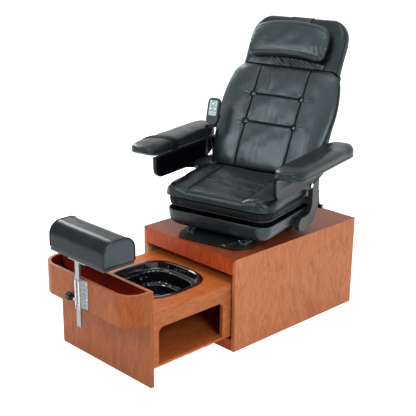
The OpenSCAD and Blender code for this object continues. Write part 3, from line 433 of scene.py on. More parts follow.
def wood(name, light, mid, dark, grain, rough, offset, mask=None, tint=None):
    """Satin cherry: broad figure, long streaks and short pores along the grain."""
    m, g = new_material(name)

    def along_grain(along, across):
        scale = [across] * 3
        scale["XYZ".index(grain)] = along
        return g.coordinates(scale, (offset, offset * 1.7, offset * 0.6))
    white = (1, 1, 1, 1)
    figure = g.noise(along_grain(3.6, 8.5), 1.0, 4, 0.60, 3.2)
    streak = g.noise(along_grain(7.0, 34.0), 1.0, 5, 0.66, 2.6)
    pores = g.noise(along_grain(26.0, 620.0), 1.0, 2, 0.5)
    color = g.ramp(streak, (0.22, srgb(dark)), (0.50, srgb(mid)), (0.78, srgb(light)))
    clouds = g.ramp(figure, (0.34, (0.80, 0.74, 0.70, 1)), (0.5, white), (0.68, (1.09, 1.07, 1.04, 1)))
    color = g.mix(0.75, color, clouds, "MULTIPLY")
    dots = g.ramp(pores, (0.34, (0.66, 0.58, 0.52, 1)), (0.47, white))
    color = g.mix(0.55, color, dots, "MULTIPLY")
    if mask is not None:
        color = g.mix(mask(g), color, g.mix(0.35, srgb(tint), color, "OVERLAY"))
    g.shade(Base_Color=color, Roughness=g.span(streak, rough + 0.06, rough - 0.05), Specular_IOR_Level=0.15,
            Coat_Weight=0.05, Coat_Roughness=0.28)
    g.bump(streak, 0.06, 0.0006, g.bump(pores, 0.10, 0.0004))
    return m


def leather(name, base, high, rough, grain=900.0, grain_amount=0.22, crease=0.30, gloss=0.30):
    """Black upholstery: pebble grain, soft creases and a slightly uneven finish."""
    m, g = new_material(name)
    v = g.coordinates()
    cloud = g.noise(v, 9.0, 3, 0.5)
    cells = g.node("TexVoronoi", feature="DISTANCE_TO_EDGE", inputs={"Scale": grain, "Vector": v})
    pebble = g.node("MapRange", {"From Max": 0.22, "Value": cells.outputs["Distance"]}).outputs["Result"]
    fold = g.noise(v, 34.0, 5, 0.6, 0.6)
    g.shade(Base_Color=g.ramp(cloud, (0.35, srgb(base)), (0.68, srgb(high))),
            Roughness=g.span(cloud, rough - 0.05, rough + 0.07), Specular_IOR_Level=gloss,
            Specular_Tint=(0.78, 0.96, 1.0, 1))
    g.bump(pebble, grain_amount, 0.00025, g.bump(fold, crease, 0.0022))
    return m


def toned(color, factor, add):
    """A linear colour made lighter or darker."""
    return tuple(min(1.0, c * factor + add) for c in color[:3]) + (1.0,)


def moulded(name, base, rough, texture=0.12, scale=1400.0, coat=0.0):
    """Moulded plastic with a fine texture."""
    m, g = new_material(name)
    v = g.coordinates()
    cloud = g.noise(v, 14.0, 3, 0.5)
    base = srgb(base)
    g.shade(Base_Color=g.ramp(cloud, (0.3, base), (0.75, toned(base, 1.25, 0.002))), Roughness=rough,
            Coat_Weight=coat, Coat_Roughness=0.06)
    g.bump(g.noise(v, scale, 2, 0.5), texture, 0.0002)
    return m


def metal(name, base, rough, stretch, amount):
    """Plated or brushed steel with fine lines and a cloudy finish."""
    m, g = new_material(name)
    lines = g.noise(g.coordinates(stretch), 600.0, 4, 0.6)
    cloud = g.noise(g.coordinates(), 70.0, 4, 0.6)
    base = (*base, 1)
    g.shade(Base_Color=g.ramp(cloud, (0.35, toned(base, 0.80, 0)), (0.62, base)),
            Roughness=g.span(cloud, rough - 0.08, rough + 0.12), Metallic=1.0)
    g.bump(lines, amount, 0.0002)
    return m


def painted(name, base, rough):
    """Sprayed paint with a faint orange peel."""
    m, g = new_material(name)
    v = g.coordinates()
    base = srgb(base)
    g.shade(Base_Color=g.ramp(g.noise(v, 11.0, 2, 0.5), (0.3, base), (0.7, toned(base, 1.3, 0.003))),
            Roughness=rough)
    g.bump(g.noise(v, 420.0, 3, 0.5), 0.16, 0.0003)
    return m


def cloth(name, base, high, threads, rough):
    """Woven cloth or webbing."""
    m, g = new_material(name)
    v = g.coordinates()
    weave = [g.node("TexWave", {"Scale": threads / 6.3, "Distortion": 0.4, "Vector": v},
                    bands_direction=way).outputs["Fac"] for way in "XZ"]
    color = g.ramp(g.noise(v, 30.0, 3, 0.5), (0.3, srgb(base)), (0.7, srgb(high)))
    g.shade(Base_Color=color, Roughness=rough)
    g.bump(g.calc("MAXIMUM", *weave), 0.3, 0.0003)
    return m


TRAY_Y = -1.010   # the line along the middle of the trough, in metres
RED = (136, 42, 24)
PALE_INSIDE = (226, 214, 196)
# light, middle and dark tone, way of the grain, roughness and offset of the pattern
SIDE = wood("wood_side", (216, 138, 92), (200, 122, 78), (178, 100, 60), "Z", 0.40, 0.0,
            faces_inward, PALE_INSIDE)
FRONT = wood("wood_front", (184, 107, 56), (166, 91, 45), (141, 71, 33), "Z", 0.40, 3.0, trough_back, RED)
TOP = wood("wood_top", (152, 82, 49), (135, 66, 37), (112, 50, 27), "Y", 0.36, 5.0)
APRON = wood("wood_apron", (206, 96, 50), (184, 76, 37), (154, 56, 26), "Z", 0.38, 7.0)
DECK = wood("wood_deck", (208, 118, 60), (192, 102, 48), (168, 82, 38), "Y", 0.36, 9.0)
RAIL = wood("wood_rail", (202, 122, 72), (186, 106, 58), (160, 84, 44), "Y", 0.38, 11.0)
TRAY = wood("wood_tray", (184, 104, 50), (166, 88, 39), (140, 68, 30), "Z", 0.38, 13.0,
            lambda g: faces_inward(g, TRAY_Y), RED)
TROUGH = wood("wood_trough", (174, 63, 38), (150, 48, 28), (122, 33, 20), "X", 0.36, 15.0)
PLY = wood("plywood", (214, 184, 142), (198, 166, 122), (176, 142, 98), "Y", 0.6, 17.0)
PLY_BLACK = wood("plywood_black", (24, 24, 25), (19, 19, 20), (13, 13, 14), "Y", 0.6, 19.0)
# darker and lighter tone, roughness, scale and depth of the grain, depth of the creases and gloss
LEATHER = leather("leather_black", (12, 16, 18), (22, 28, 30), 0.28, crease=0.36, gloss=0.38)
LEATHER_BACK = leather("leather_back", (18, 24, 26), (33, 41, 43), 0.30, crease=0.30, gloss=0.56)
LEATHER_FIRM = leather("leather_firm", (10, 13, 15), (17, 21, 23), 0.23, 900.0, 0.18, 0.12, 0.17)
LEATHER_SHELL = leather("leather_shell", (22, 28, 33), (36, 44, 50), 0.24, 900.0, 0.25, 0.20, 0.50)
# near-black leather: painted shade on the border roll and on the back pad's sides, sewn lines and button
# rings; the left arm's band is made of it too
LEATHER_DARK = leather("leather_band_and_painted_shade", (5, 6, 7), (9, 11, 12), 0.50, crease=0.16, gloss=0.16)
# near-black, almost glossless leather: painted shade on the inner faces of the arm side panels
LEATHER_INNER_SHADE = leather("leather_inner_painted_shade", (3, 3, 6), (5, 5, 9), 0.60, crease=0.10, gloss=0.02)
TRIM = leather("leather_trim", (58, 64, 66), (84, 92, 95), 0.34, 1200.0, 0.15, 0.10)
PIPING = leather("leather_piping", (14, 16, 17), (22, 25, 26), 0.30, 1200.0, 0.15, 0.12)
BUTTON = leather("leather_button", (50, 56, 58), (66, 74, 76), 0.12, 1200.0, 0.06, 0.05, 0.6)
SKIRT = cloth("skirt_cloth", (40, 46, 50), (84, 93, 98), 1500.0, 0.38)
STRAP = cloth("strap_web", (9, 11, 12), (17, 20, 21), 900.0, 0.6)
BASIN = moulded("basin_plastic", (10, 11, 16), 0.10, 0.03, 300.0, 0.6)
BLACK_PLASTIC = moulded("black_plastic", (18, 19, 21), 0.34, 0.20)
CASE = moulded("handset_plastic", (40, 50, 55), 0.34, 0.15)
PALE = moulded("panel_plastic", (200, 221, 224), 0.34, 0.04, 900.0, 0.1)
PRINT = moulded("face_print", (148, 171, 178), 0.34, 0.04, 900.0, 0.1)
KEYS = moulded("key_plastic", (226, 237, 239), 0.40, 0.10)
CORD = moulded("cord_rubber", (16, 16, 17), 0.45, 0.10)
ZINC = metal("zinc_plate", (0.47, 0.49, 0.50), 0.26, (1, 1, 0.03), 0.15)
POST = metal("post_steel", (0.27, 0.285, 0.295), 0.30, (1, 1, 0.03), 0.12)
RUNNER = metal("runner_steel", (0.66, 0.68, 0.69), 0.30, (1, 0.02, 1), 0.12)
RAILS = metal("rail_steel", (0.36, 0.37, 0.39), 0.38, (1, 0.02, 1), 0.12)
CHROME = metal("chrome", (0.86, 0.87, 0.88), 0.12, (1, 1, 1), 0.04)
MOTOR = painted("motor_grey", (96, 99, 103), 0.4)
BLACK_STEEL = painted("black_steel", (17, 18, 20), 0.42)
BOARD = painted("board_black", (20, 21, 23), 0.5)

NODE_LOOKS = {
    SIDE: ["cabinet_side_left", "cabinet_side_right", "cabinet_back"],
    TOP: ["cabinet_top"],
    APRON: ["cabinet_apron", "cabinet_plinth"],
    FRONT: ["drawer_front"],
    TRAY: ["tray_wall"],
    TROUGH: ["tray_floor"],
    RAIL: ["drawer_side_left", "drawer_side_right", "drawer_back"],
    DECK: ["drawer_deck", "drawer_floor"],
    PLY: ["cabinet_base", "runner_bearers", "corner_blocks"],
    PLY_BLACK: ["back_frame"],
    BOARD: ["footrest_board"],
    RUNNER: ["runner_outers", "runner_middles", "runner_inners"],
    RAILS: ["swivel_ring", "rail_lowers", "rail_uppers"],
    ZINC: ["footrest_bracket", "slide_lever"],
    POST: ["footrest_post"],
    CHROME: ["bracket_screws", "arm_pivots"],
    BLACK_STEEL: ["swivel_plate", "seat_frame", "arm_brackets", "recline_brackets", "recline_lever"],
    BASIN: ["basin_tub"],
    BLACK_PLASTIC: ["clamp_knob", "control_box", "handset_holder"],
    CASE: ["handset_case"],
    PALE: ["handset_panel"],
    KEYS: ["key_1", "key_2", "key_3"],
    MOTOR: ["massage_motors"],
}
for material, names in NODE_LOOKS.items():
    for name in names:
        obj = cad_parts[name]
        if not obj.data.materials:
            obj.data.materials.append(material)
        for slot in obj.material_slots:
            slot.material = material


# ---------------------------------------------------------------- handset face
KEY_AT = ((0, 104), (-13, 78), (13, 78))   # the middles of the three keys
KEY_HALF = 7.5
FACE_W, FACE_LOW, FACE_TOP = 47, 43, 121
CELL, CELL_GAP = 8.6, 2.2


def face_block(name, w, h, r, low, high, at, material, n=4, straight=1):
    """A flat block with rounded corners on the handset's face."""
    rings = [rounded_ring(w, h, r, out, n, at, straight) for out in (low, high)]
    return loft(name, rings, hand_place, material, smooth=False)


def handset_face():
    """The pale face: a plate with a plain grid of printed squares round the three keys."""
    plate = face_block("face_plate", FACE_W, FACE_TOP - FACE_LOW, 5, 21.0, 21.6,
                       (0, (FACE_LOW + FACE_TOP) / 2), PRINT, 6, 2)
    # the keys come through holes that clear them by a millimetre
    cut(plate, [face_block("key_hole", 15, 15, 3, 20.5, 22.5, at, PRINT) for at in KEY_AT])
    parts = [plate]
    for row in range(7):
        for column in range(4):
            x, u = (column - 1.5) * (CELL + CELL_GAP), FACE_LOW + 6.4 + row * (CELL + CELL_GAP)
            # a square that would sit under a real key is left out
            if all(max(abs(x - kx), abs(u - ku)) >= CELL / 2 + KEY_HALF for kx, ku in KEY_AT):
                parts.append(face_block("face_square", CELL, CELL, 1.6, 21.4, 22.0, (x, u), PALE))
    return join(parts, "handset_face")


dress(handset_face(), "handset", "panel_plastic", "handset_panel")


# ---------------------------------------------------------------- handset cord
CORD_POINTS = [(-80, 152, 545), (-80, 166, 545), (-84, 184, 538), (-96, 198, 518),
               (-122, 201, 502), (-160, 200, 495), (-200, 186, 496), (-238, 170, 506),
               (-268, 156, 526), (-288, 143, 556), (-300, 134, 596), (-305, 129, 640),
               (-306, 125, 690), (-306, 120, 740), (-306, 109, 785), (-304, 94, 825),
               (-298, 77, 858), (-289, 65, 882), (-282, 60.5, 898), (-281, 65.1, 913.9)]


def smooth_path(points, parts=4):
    """Catmull-Rom curve through the points."""
    p = np.asarray(points, float)
    out = []
    for i in range(len(p) - 1):
        a, b, c, d = p[max(0, i - 1)], p[i], p[i + 1], p[min(len(p) - 1, i + 2)]
        for k in range(parts):
            t = k / parts
            out.append(0.5 * ((2 * b) + (c - a) * t + (2 * a - 5 * b + 4 * c - d) * t * t
                              + (3 * b - a - 3 * c + d) * t ** 3))
    out.append(p[-1])
    return np.array(out)


cord_path = seat_place(smooth_path(CORD_POINTS))
cord = tube("handset_lead", cord_path, 0.0025, CORD, 10)
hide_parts("handset_cord")
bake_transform(cord)


# ---------------------------------------------------------------- footrest pad
FOOT_Y, FOOT_Z = -1008, 558                 # middle and underside of the pad
FOOT_H, FOOT_D, FOOT_HALF = 118.0, 86.5, 194.0
FOOT_R = FOOT_H - 74.0 / 1.3                # round of its upper edges
FOOT_MID = np.array([0, FOOT_H * 0.45])
# distances from an end, and the share of the full section there
FOOT_END = [(0.5, 0.20), (0.2, 0.55), (0.9, 0.86), (3.0, 0.965), (6.0, 0.972), (9.0, 0.988), (15.0, 0.998),
            (30.0, 1.0)]


def footrest_pad():
    """A half-round pad with flat end panels and piping round both ends."""
    h, d, r, half = FOOT_H, FOOT_D, FOOT_R, FOOT_HALF
    quarter = np.linspace(0, math.pi / 2, 18)
    prof = [(-d + 5, 0), (-d + 1.5, 1.5), (-d, 5)]
    prof += [(-d, z) for z in np.linspace(14, h - r - 6, 6)]
    prof += [(-d + r - r * math.cos(a), h - r + r * math.sin(a)) for a in quarter]
    prof += [(y, h) for y in np.linspace(r - d, d - r, 8)[1:-1]]
    prof += [(d - r + r * math.sin(a), h - r + r * math.cos(a)) for a in quarter]
    prof += [(d, z) for z in np.linspace(h - r - 6, 14, 6)]
    prof += [(d, 5), (d - 1.5, 1.5), (d - 5, 0)]
    seen = np.array(prof)
    prof = np.array(prof + [(y, 0) for y in np.linspace(d - 16, -d + 16, 10)])
    un = Uneven(5, 40, 160, (0.35, 1, 1))
    stations = [(-half + off, share) for off, share in FOOT_END]
    stations += [(x, 1.0) for x in np.linspace(-half + 50, half - 50, 26)]
    stations += [(half - off, share) for off, share in FOOT_END[::-1]]
    rings = []
    for x, share in stations:
        yz = FOOT_MID + (prof - FOOT_MID) * share
        yz[:, 1] = np.maximum(yz[:, 1], 0.0)
        ring = np.stack([np.full(len(yz), x), FOOT_Y + yz[:, 0], FOOT_Z + yz[:, 1]], -1)
        if share > 0.99:
            out = yz - FOOT_MID
            out /= np.maximum(1, np.linalg.norm(out, axis=1))[:, None]
            dent = np.minimum(un(ring) * 0.7 * (0.4 + 0.6 * abs(x / half)) - 0.8, 0.0) * (yz[:, 1] > 4)
            ring[:, 1:] += out * dent[:, None]
        rings.append(ring)
    body = loft("footrest_pad", rings, plain_place, LEATHER_FIRM)
    # painted light: both flat end panels take the paler back leather, so that they read as lit
    second_material(body, LEATHER_BACK, lambda face: abs(face.normal.x) > 0.93)
    yz = FOOT_MID + (seen - FOOT_MID) * 0.985
    yz = yz[yz[:, 1] > 2.8]
    pipes = []
    for s in (-1, 1):
        path = np.stack([np.full(len(yz), s * (half - 4.6)), FOOT_Y + yz[:, 0], FOOT_Z + yz[:, 1]], -1)
        pipes.append(tube("pipe", plain_place(path), 0.0028, PIPING, up=(1, 0, 0)))
    return join([body] + pipes, "footrest_pad")


pad = dress(footrest_pad(), "footrest", "leather", "footrest_cushion")


# ---------------------------------------------------------------- seat shell and border roll
SHELL_PLAN = (572, 358, 150)           # width, reach to the front and reach to the back
SHELL_LOW, SHELL_HIGH, SHELL_T = 500.0, 584.0, 6.0
BORDER_PLAN, BORDER_R = (568.0, 364.0, 88.0), 82.0
BORDER_Z, BORDER_H = 610.0, 42.0


def plan_ring(plan, inset, r, z, n, straight):
    """A ring round a rounded plan, drawn in by an inset."""
    w, front, back = plan
    return rounded_ring(w - 2 * inset, front + back - 2 * inset, r, z, n, (0, (back - front) / 2), straight)


def push(ring, plan, amount):
    """Moves a ring's points away from the middle of its plan."""
    d = ring[:, :2] - (0, (plan[2] - plan[1]) / 2)
    d /= np.linalg.norm(d, axis=1)[:, None]
    ring[:, :2] += d * amount[:, None]


def seat_shell():
    """The open tray under the seat, with piping round its rim and a seam down its front."""
    z0, z1, t = SHELL_LOW, SHELL_HIGH, SHELL_T
    outer = [(54, z0), (40, z0 + 1.6), (32, z0 + 4.4), (22, z0 + 10), (14, z0 + 17), (8, z0 + 27),
             (4, z0 + 38), (1.4, z0 + 50), (0.6, z0 + 62), (0.4, z1 - 10), (0.2, z1 - 5), (1.2, z1 - 1.5),
             (3.2, z1)]
    inner = [(t, z1 - 0.4), (t + 2, z1 - 4), (t + 2, z1 - 8), (t, z0 + 60), (t + 5, z0 + 38),
             (t + 15, z0 + 20), (t + 32, z0 + t + 4), (t + 54, z0 + t)]
    un = Uneven(11, 70, 260)
    rings = []
    for s, z in outer + inner:
        ring = plan_ring(SHELL_PLAN, s, 62 - s * 0.5, z, 14, 10)
        if z0 + 8 < z < z1 - 4 and s < 30:
            push(ring, SHELL_PLAN, np.minimum(0, un(ring) * 0.8 - 0.8))
        rings.append(ring)
    shell = loft("seat_shell_cover", rings, seat_place, LEATHER_SHELL)
    # the handset's cord leaves through the rear wall
    cut(shell, [rod(seat_place((-80, 118, 545)), seat_place((-80, 160, 545)), 0.0085, LEATHER_SHELL, 32)])
    shell.data.shade_smooth()
    bead = plan_ring(SHELL_PLAN, 3.4, 60, z1 - 1.6, 14, 10)
    pipe = tube("pipe", seat_place(bead), 0.0024, PIPING, closed=True)
    seam = [(0, -SHELL_PLAN[1] + s + 0.2, z) for s, z in outer[3:]]
    line = tube("seam", seat_place(seam), 0.0011, PIPING, 6, up=(1, 0, 0))
    return join([shell, pipe, line], "seat_shell_cover")


dress(seat_shell(), "seat", "leather", "seat_shell")


def seat_border():
    """The soft roll under the cushion, gathered round its front corners."""
    w, front, _ = BORDER_PLAN
    z, h, r = BORDER_Z, BORDER_H, BORDER_R
    steps = [(40, z + 0.5), (16, z), (8, z + 2.5), (4, z + 6), (1.2, z + 13), (0, z + 21), (1.0, z + 29),
             (4, z + 35.5), (8, z + 39.8), (14, z + h), (40, z + h - 0.5)]
    un = Uneven(21, 30, 140)
    cx, cy = w / 2 - r, -front + r
    rings = []
    for s, zz in steps:
        ring = plan_ring(BORDER_PLAN, s, r - s * 0.5, zz, 40, 26)
        corner = np.clip((np.abs(ring[:, 0]) - cx + 70) / 60, 0, 1) * (ring[:, 1] < cy + 30)
        ang = np.arctan2(ring[:, 1] - cy, np.abs(ring[:, 0]) - cx)
        gather = (np.cos(ang * 30 + 0.9 * np.sin(ang * 9)) - 1) * 3.2 * corner
        if s < 17:
            push(ring, BORDER_PLAN, np.minimum(0, gather + un(ring) * 0.9 - 0.9) * hump((zz - z) / h))
        rings.append(ring)
    # the roll takes the near-black leather as painted shade under the cushion's overhanging edge
    roll = loft("seat_border_roll", rings, seat_place, LEATHER_DARK)
    bead = plan_ring(BORDER_PLAN, 5.0, r - 3, z + 3.2, 24, 12)
    return join([roll, tube("pipe", seat_place(bead), 0.0026, PIPING, closed=True)], "seat_border_roll")


border = dress(seat_border(), "seat", "leather", "seat_border")


# ---------------------------------------------------------------- padded slabs
def drawn_in(loop, middle_y, share, z):
    """A pad's outer loop, drawn in to a share of its plan at height z."""
    ring = loop.copy()
    middle = np.array([0, middle_y])
    ring[:, :2] = middle + (ring[:, :2] - middle) * share
    ring[:, 2] = z
    return ring


def slab(name, rows, seam, half, height, sides, place, material):
    """Closed pad: a face over rows and columns, and rings that draw its sides in.

    Columns run to the seam, finer by it, and then by shares of the way to the edge.
    Returns the pad, its outer loop and the number of the first face past the first ring.
    """
    rows = sorted(set(rows))
    inner = list(np.linspace(0, seam - 18, 16)) + list(seam + np.linspace(-16, 16, 17))
    right = [(v, 0) for v in inner] + [(inner[-1], s) for s in np.sin(np.linspace(0, math.pi / 2, 21))[1:]]
    cols = [(-1, v, s) for v, s in right[:0:-1]] + [(1, v, s) for v, s in right]
    widths = [float(half(y)) for y in rows]
    face = np.array([[(sg * min(v + (hw - v) * s, hw), y, 0) for sg, v, s in cols]
                     for y, hw in zip(rows, widths)])
    face[..., 2] = height(face[..., 0], face[..., 1], np.array(widths)[:, None])
    nv, nu = len(rows) - 1, len(cols) - 1
    n1 = nu + 1
    faces = [(j * n1 + i, j * n1 + i + 1, (j + 1) * n1 + i + 1, (j + 1) * n1 + i)
             for j in range(nv) for i in range(nu)]
    verts = face.reshape(-1, 3)
    prev = list(range(nu)) + [j * n1 + nu for j in range(nv)] \
        + [nv * n1 + i for i in range(nu, 0, -1)] + [j * n1 for j in range(nv, 0, -1)]
    loop = verts[prev]
    n = len(loop)
    middle_y = (rows[0] + rows[-1]) / 2
    for share, z in sides:
        cur = list(range(len(verts), len(verts) + n))
        verts = np.vstack([verts, drawn_in(loop, middle_y, share, z)])
        faces += [(prev[k], prev[(k + 1) % n], cur[(k + 1) % n], cur[k]) for k in range(n)]
        prev = cur
    faces += [(prev[k], prev[(k + 1) % n], len(verts)) for k in range(n)]
    verts = np.vstack([verts, (0, middle_y, sides[-1][1])])
    return make_mesh(name, place(verts), faces, material), loop, nv * nu + n


def edge_pipe(loop, middle_y, share, z, place, radius, material):
    """Piping along a pad's outer loop."""
    path = even_path(drawn_in(loop, middle_y, share, z), 220)
    return tube("pipe", place(path), radius, material, closed=True)


# ---------------------------------------------------------------- seat cushion
SEAT_X, SEAT_LOW, SEAT_HIGH, CUSHION_Z = 155.0, -215.0, -149.0, 652.0   # sewn lines and underside
SEAT_FRONT, SEAT_BACK, SEAT_R = 368.0, 88, 80.0


def seat_half(y):
    """Half width of the cushion. Its sides bulge a little towards the front corners."""
    bulge = 7 * ease((-150 - y) / 130)
    taper = 12 * (y + SEAT_FRONT) / (SEAT_FRONT + SEAT_BACK)
    return 290 + bulge - taper - corner_cut(y + SEAT_FRONT, SEAT_R) - corner_cut(SEAT_BACK - y, 44)


def seat_roll(d):
    """Roll of the cushion's edge at distance d from it."""
    return fullness(np.maximum(0, 1 - d / 40), 2.2)


def seat_height(x, y, hw):
    across = np.abs(x)
    in_front = y + SEAT_FRONT
    edge = seat_roll(hw - across)
    soft = np.clip(in_front / 60, 0, 1)
    side = (across - SEAT_X) / np.maximum(1, hw - SEAT_X)
    crown = 34 + 34 * ease((in_front - 10) / 370) + 14 * hump(side) * ease((-60 - y) / 60)
    back = np.where(y < -10, 1, 1 - 0.50 * (y + 10) / 98)
    z = CUSHION_Z + 14 + crown * seat_roll(in_front) * back * edge
    long_line = groove(across - SEAT_X - 0.02 * (y + 180)) * (y < 70)
    cross = np.maximum(groove(y - SEAT_LOW, 5), groove(y - SEAT_HIGH, 5)) * (across < SEAT_X + 4)
    z = z - np.minimum(long_line * 8 + cross * 7, 9) * np.clip((hw - across) / 25, 0, 1) * soft
    # the middle panel swells a little between its seams
    z = z + 2.2 * np.where(across < SEAT_X, np.cos(x / SEAT_X * math.pi / 2), 0) * soft * edge
    p = np.stack([x, y, 0 * x], -1)
    z = z + (Uneven(31, 60, 240)(p) * 1.3 + Uneven(32, 22, 60, (0.5, 1.2, 1))(p) * 0.45) * edge * soft
    # short pulls that run across each sewn line
    for line in (SEAT_LOW, SEAT_HIGH):
        near = bell(y - line, 16) * (across < SEAT_X - 6)
        z = z + 0.7 * near * np.sin(x / 7.0 + 2.2 * np.sin(x / 31.0))
    near = bell(across - SEAT_X, 18) * (y < 60) * soft
    z = z + 0.8 * near * np.sin(y / 8.0 + 1.8 * np.sin(y / 37.0))
    # gathers round the front corners
    cx, cy = 290 - SEAT_R, SEAT_R - SEAT_FRONT
    inside = np.maximum(0, SEAT_R - np.hypot(across - cx, y - cy))
    ang = np.arctan2(y - cy, across - cx)
    near = ease((across - cx + 60) / 60) * (y < cy + 30)
    return z + 4.0 * near * np.exp(-inside / 24) * np.cos(ang * 32 + 1.2 * np.sin(ang * 7))


def seat_cushion():
    rows = list(-SEAT_FRONT + np.array([0, 1.2, 3, 6, 10, 16, 24, 34, 46, 60, 76, 92, 108, 124, 140]))
    rows += [s + d for s in (SEAT_LOW, SEAT_HIGH) for d in np.linspace(-14, 14, 13)]
    rows += [-195, -182, -170] + list(np.linspace(-128, 36, 14))
    rows += list(SEAT_BACK - np.array([44, 36, 29, 23, 17, 12, 8, 5, 2.5, 1, 0]))
    rows = sorted(set(rows))
    sides = [(1.003, 663.5), (1.004, 661), (1.0, 657.5), (0.990, 654.5), (0.975, 653), (0.93, 652.2),
             (0.6, CUSHION_Z)]
    obj, loop, _ = slab("seat_pad", rows, SEAT_X, seat_half, seat_height, sides, seat_place, LEATHER)
    parts = [obj, edge_pipe(loop, -146.0, 0.999, 658.5, seat_place, 0.0030, PIPING)]
    for y, half in ((SEAT_LOW, SEAT_X + 2), (SEAT_HIGH, SEAT_X - 3)):
        xs = np.linspace(-half, half, 90)
        ys = np.full_like(xs, y)
        thread = np.stack([xs, ys, seat_height(xs, ys, float(seat_half(y))) + 0.3], -1)
        parts.append(tube("seam", seat_place(thread), 0.0010, PIPING, 6))
    return join(parts, "seat_pad")


seat = dress(seat_cushion(), "seat", "leather", "seat_cushion")


# ---------------------------------------------------------------- back shell
HEAD_N, HEAD_T, HEAD_HALF = -20.0, 70.0, 270   # front, thickness and half width of the head section
BACK_TOP, BACK_L = 794.0, 515.0                # tops of the head section and of the pad
MOTOR_N, REAR_N, REAR_TOP = -70.0, -128.0, 640


def back_ring(s, half, n0, n1, r):
    r = min(r, (n1 - n0) / 2 - 0.5)
    ring = rounded_ring(n1 - n0, 2 * half, r, 0, 9, ((n0 + n1) / 2, 0), 14)
    return np.stack([ring[:, 1], np.full(len(ring), s), ring[:, 0]], -1)


def body_half(s):
    """Half width of the cover behind the pad: wide at the waist, and less at both ends."""
    waist = 30 * float(ease((s - 30) / 130) * ease((BACK_L - 10 - s) / 290))
    return HEAD_HALF - 12 * max(0, 1 - s / BACK_L) ** 2 + waist


def back_rear(s):
    """How far behind the pad's face the cover's rear is at height s."""
    head = HEAD_N - HEAD_T
    return head if s > REAR_TOP else REAR_N + (head - REAR_N) * s / REAR_TOP


def back_shell():
    """The cover of the back and its head section, with pockets for the motors."""
    r = HEAD_T / 2
    rings = [back_ring(s, body_half(s), back_rear(s), MOTOR_N, 22)
             for s in (8, 20, 40, 80, 120, 160, 200, 240, 280, 320, 370, 420, 460, BACK_L - 12, BACK_L - 2)]
    rises = [BACK_L + d for d in (4, 8, 30, 60)] + [600, 640, 670]
    rises += [BACK_TOP - d for d in (110, 100, 92, 85, 74, 62, 50, 40)]
    rings += [back_ring(s, HEAD_HALF - float(corner_cut(BACK_TOP - s, 110)), back_rear(s), HEAD_N, 32)
              for s in rises]
    for a in np.radians(np.linspace(4, 88, 16)):
        s = BACK_TOP - r + r * math.sin(a)
        k = r - r * math.cos(a)
        half = HEAD_HALF - float(corner_cut(BACK_TOP - s + 1.5, 112))
        rings.append(back_ring(s, half, HEAD_N - HEAD_T + k, HEAD_N - k, 32))
    broad, fine = Uneven(41, 60, 260), Uneven(42, 24, 70, (1, 0.4, 1))
    for ring in rings:
        if ring[0, 1] > BACK_L:
            d = ring - (0, ring[0, 1], (ring[:, 2].max() + ring[:, 2].min()) / 2)
            d[:, 0] *= 0.3
            ring += unit(d) * np.minimum(0, broad(ring) * 0.9 + fine(ring) * 0.35 - 1.2)[:, None]
    shell = loft("back_body", rings, back_place, LEATHER)
    cut(shell, [rod(back_place((x, s, MOTOR_N - 26)), back_place((x, s, MOTOR_N + 12)), 0.032, LEATHER, 36)
                for s in (170, 370) for x in (-95, 95)])
    shell.data.shade_smooth()
    # a zip's cover strip down each side, between the two halves of the cover
    parts = [shell]
    for side in (-1, 1):
        path = []
        for s in np.linspace(24, BACK_TOP - 120, 60):
            low = s < BACK_L
            half = (body_half(s) if low else HEAD_HALF) - float(corner_cut(BACK_TOP - s, 110))
            n = (MOTOR_N + back_rear(s)) / 2 if low else HEAD_N - HEAD_T / 2 - 8
            path.append((side * (half - 0.8), s, n))
        parts.append(tube("pipe", back_place(path), 0.0022, TRIM))
    return join(parts, "back_body")


body = dress(back_shell(), "back", "leather", "back_shell")


# ---------------------------------------------------------------- back cushion
TUFT_X, TUFT_LOW, TUFT_HIGH, BACK_LOW = 138.0, 203.0, 350.0, 36.0
# hanging folds: place across, width, depth and lower end
BACK_FOLDS = ((-68, 7, 2.6, 362), (-56, 6, -1.8, 366), (-40, 5, 1.0, 400), (20, 6, 0.8, 410),
              (66, 6, 1.0, 405))


def back_half(s):
    """Half width of the pad, drawn in towards both ends."""
    s = np.asarray(s, float)
    low = 35 * np.maximum(0, 1 - s / 300) ** 1.5
    high = 40 * (np.maximum(0, s - 300) / 215) ** 2
    return 318 - np.where(s < 300, low, high) - corner_cut(BACK_L - s, 50) - corner_cut(s + BACK_LOW, 16)


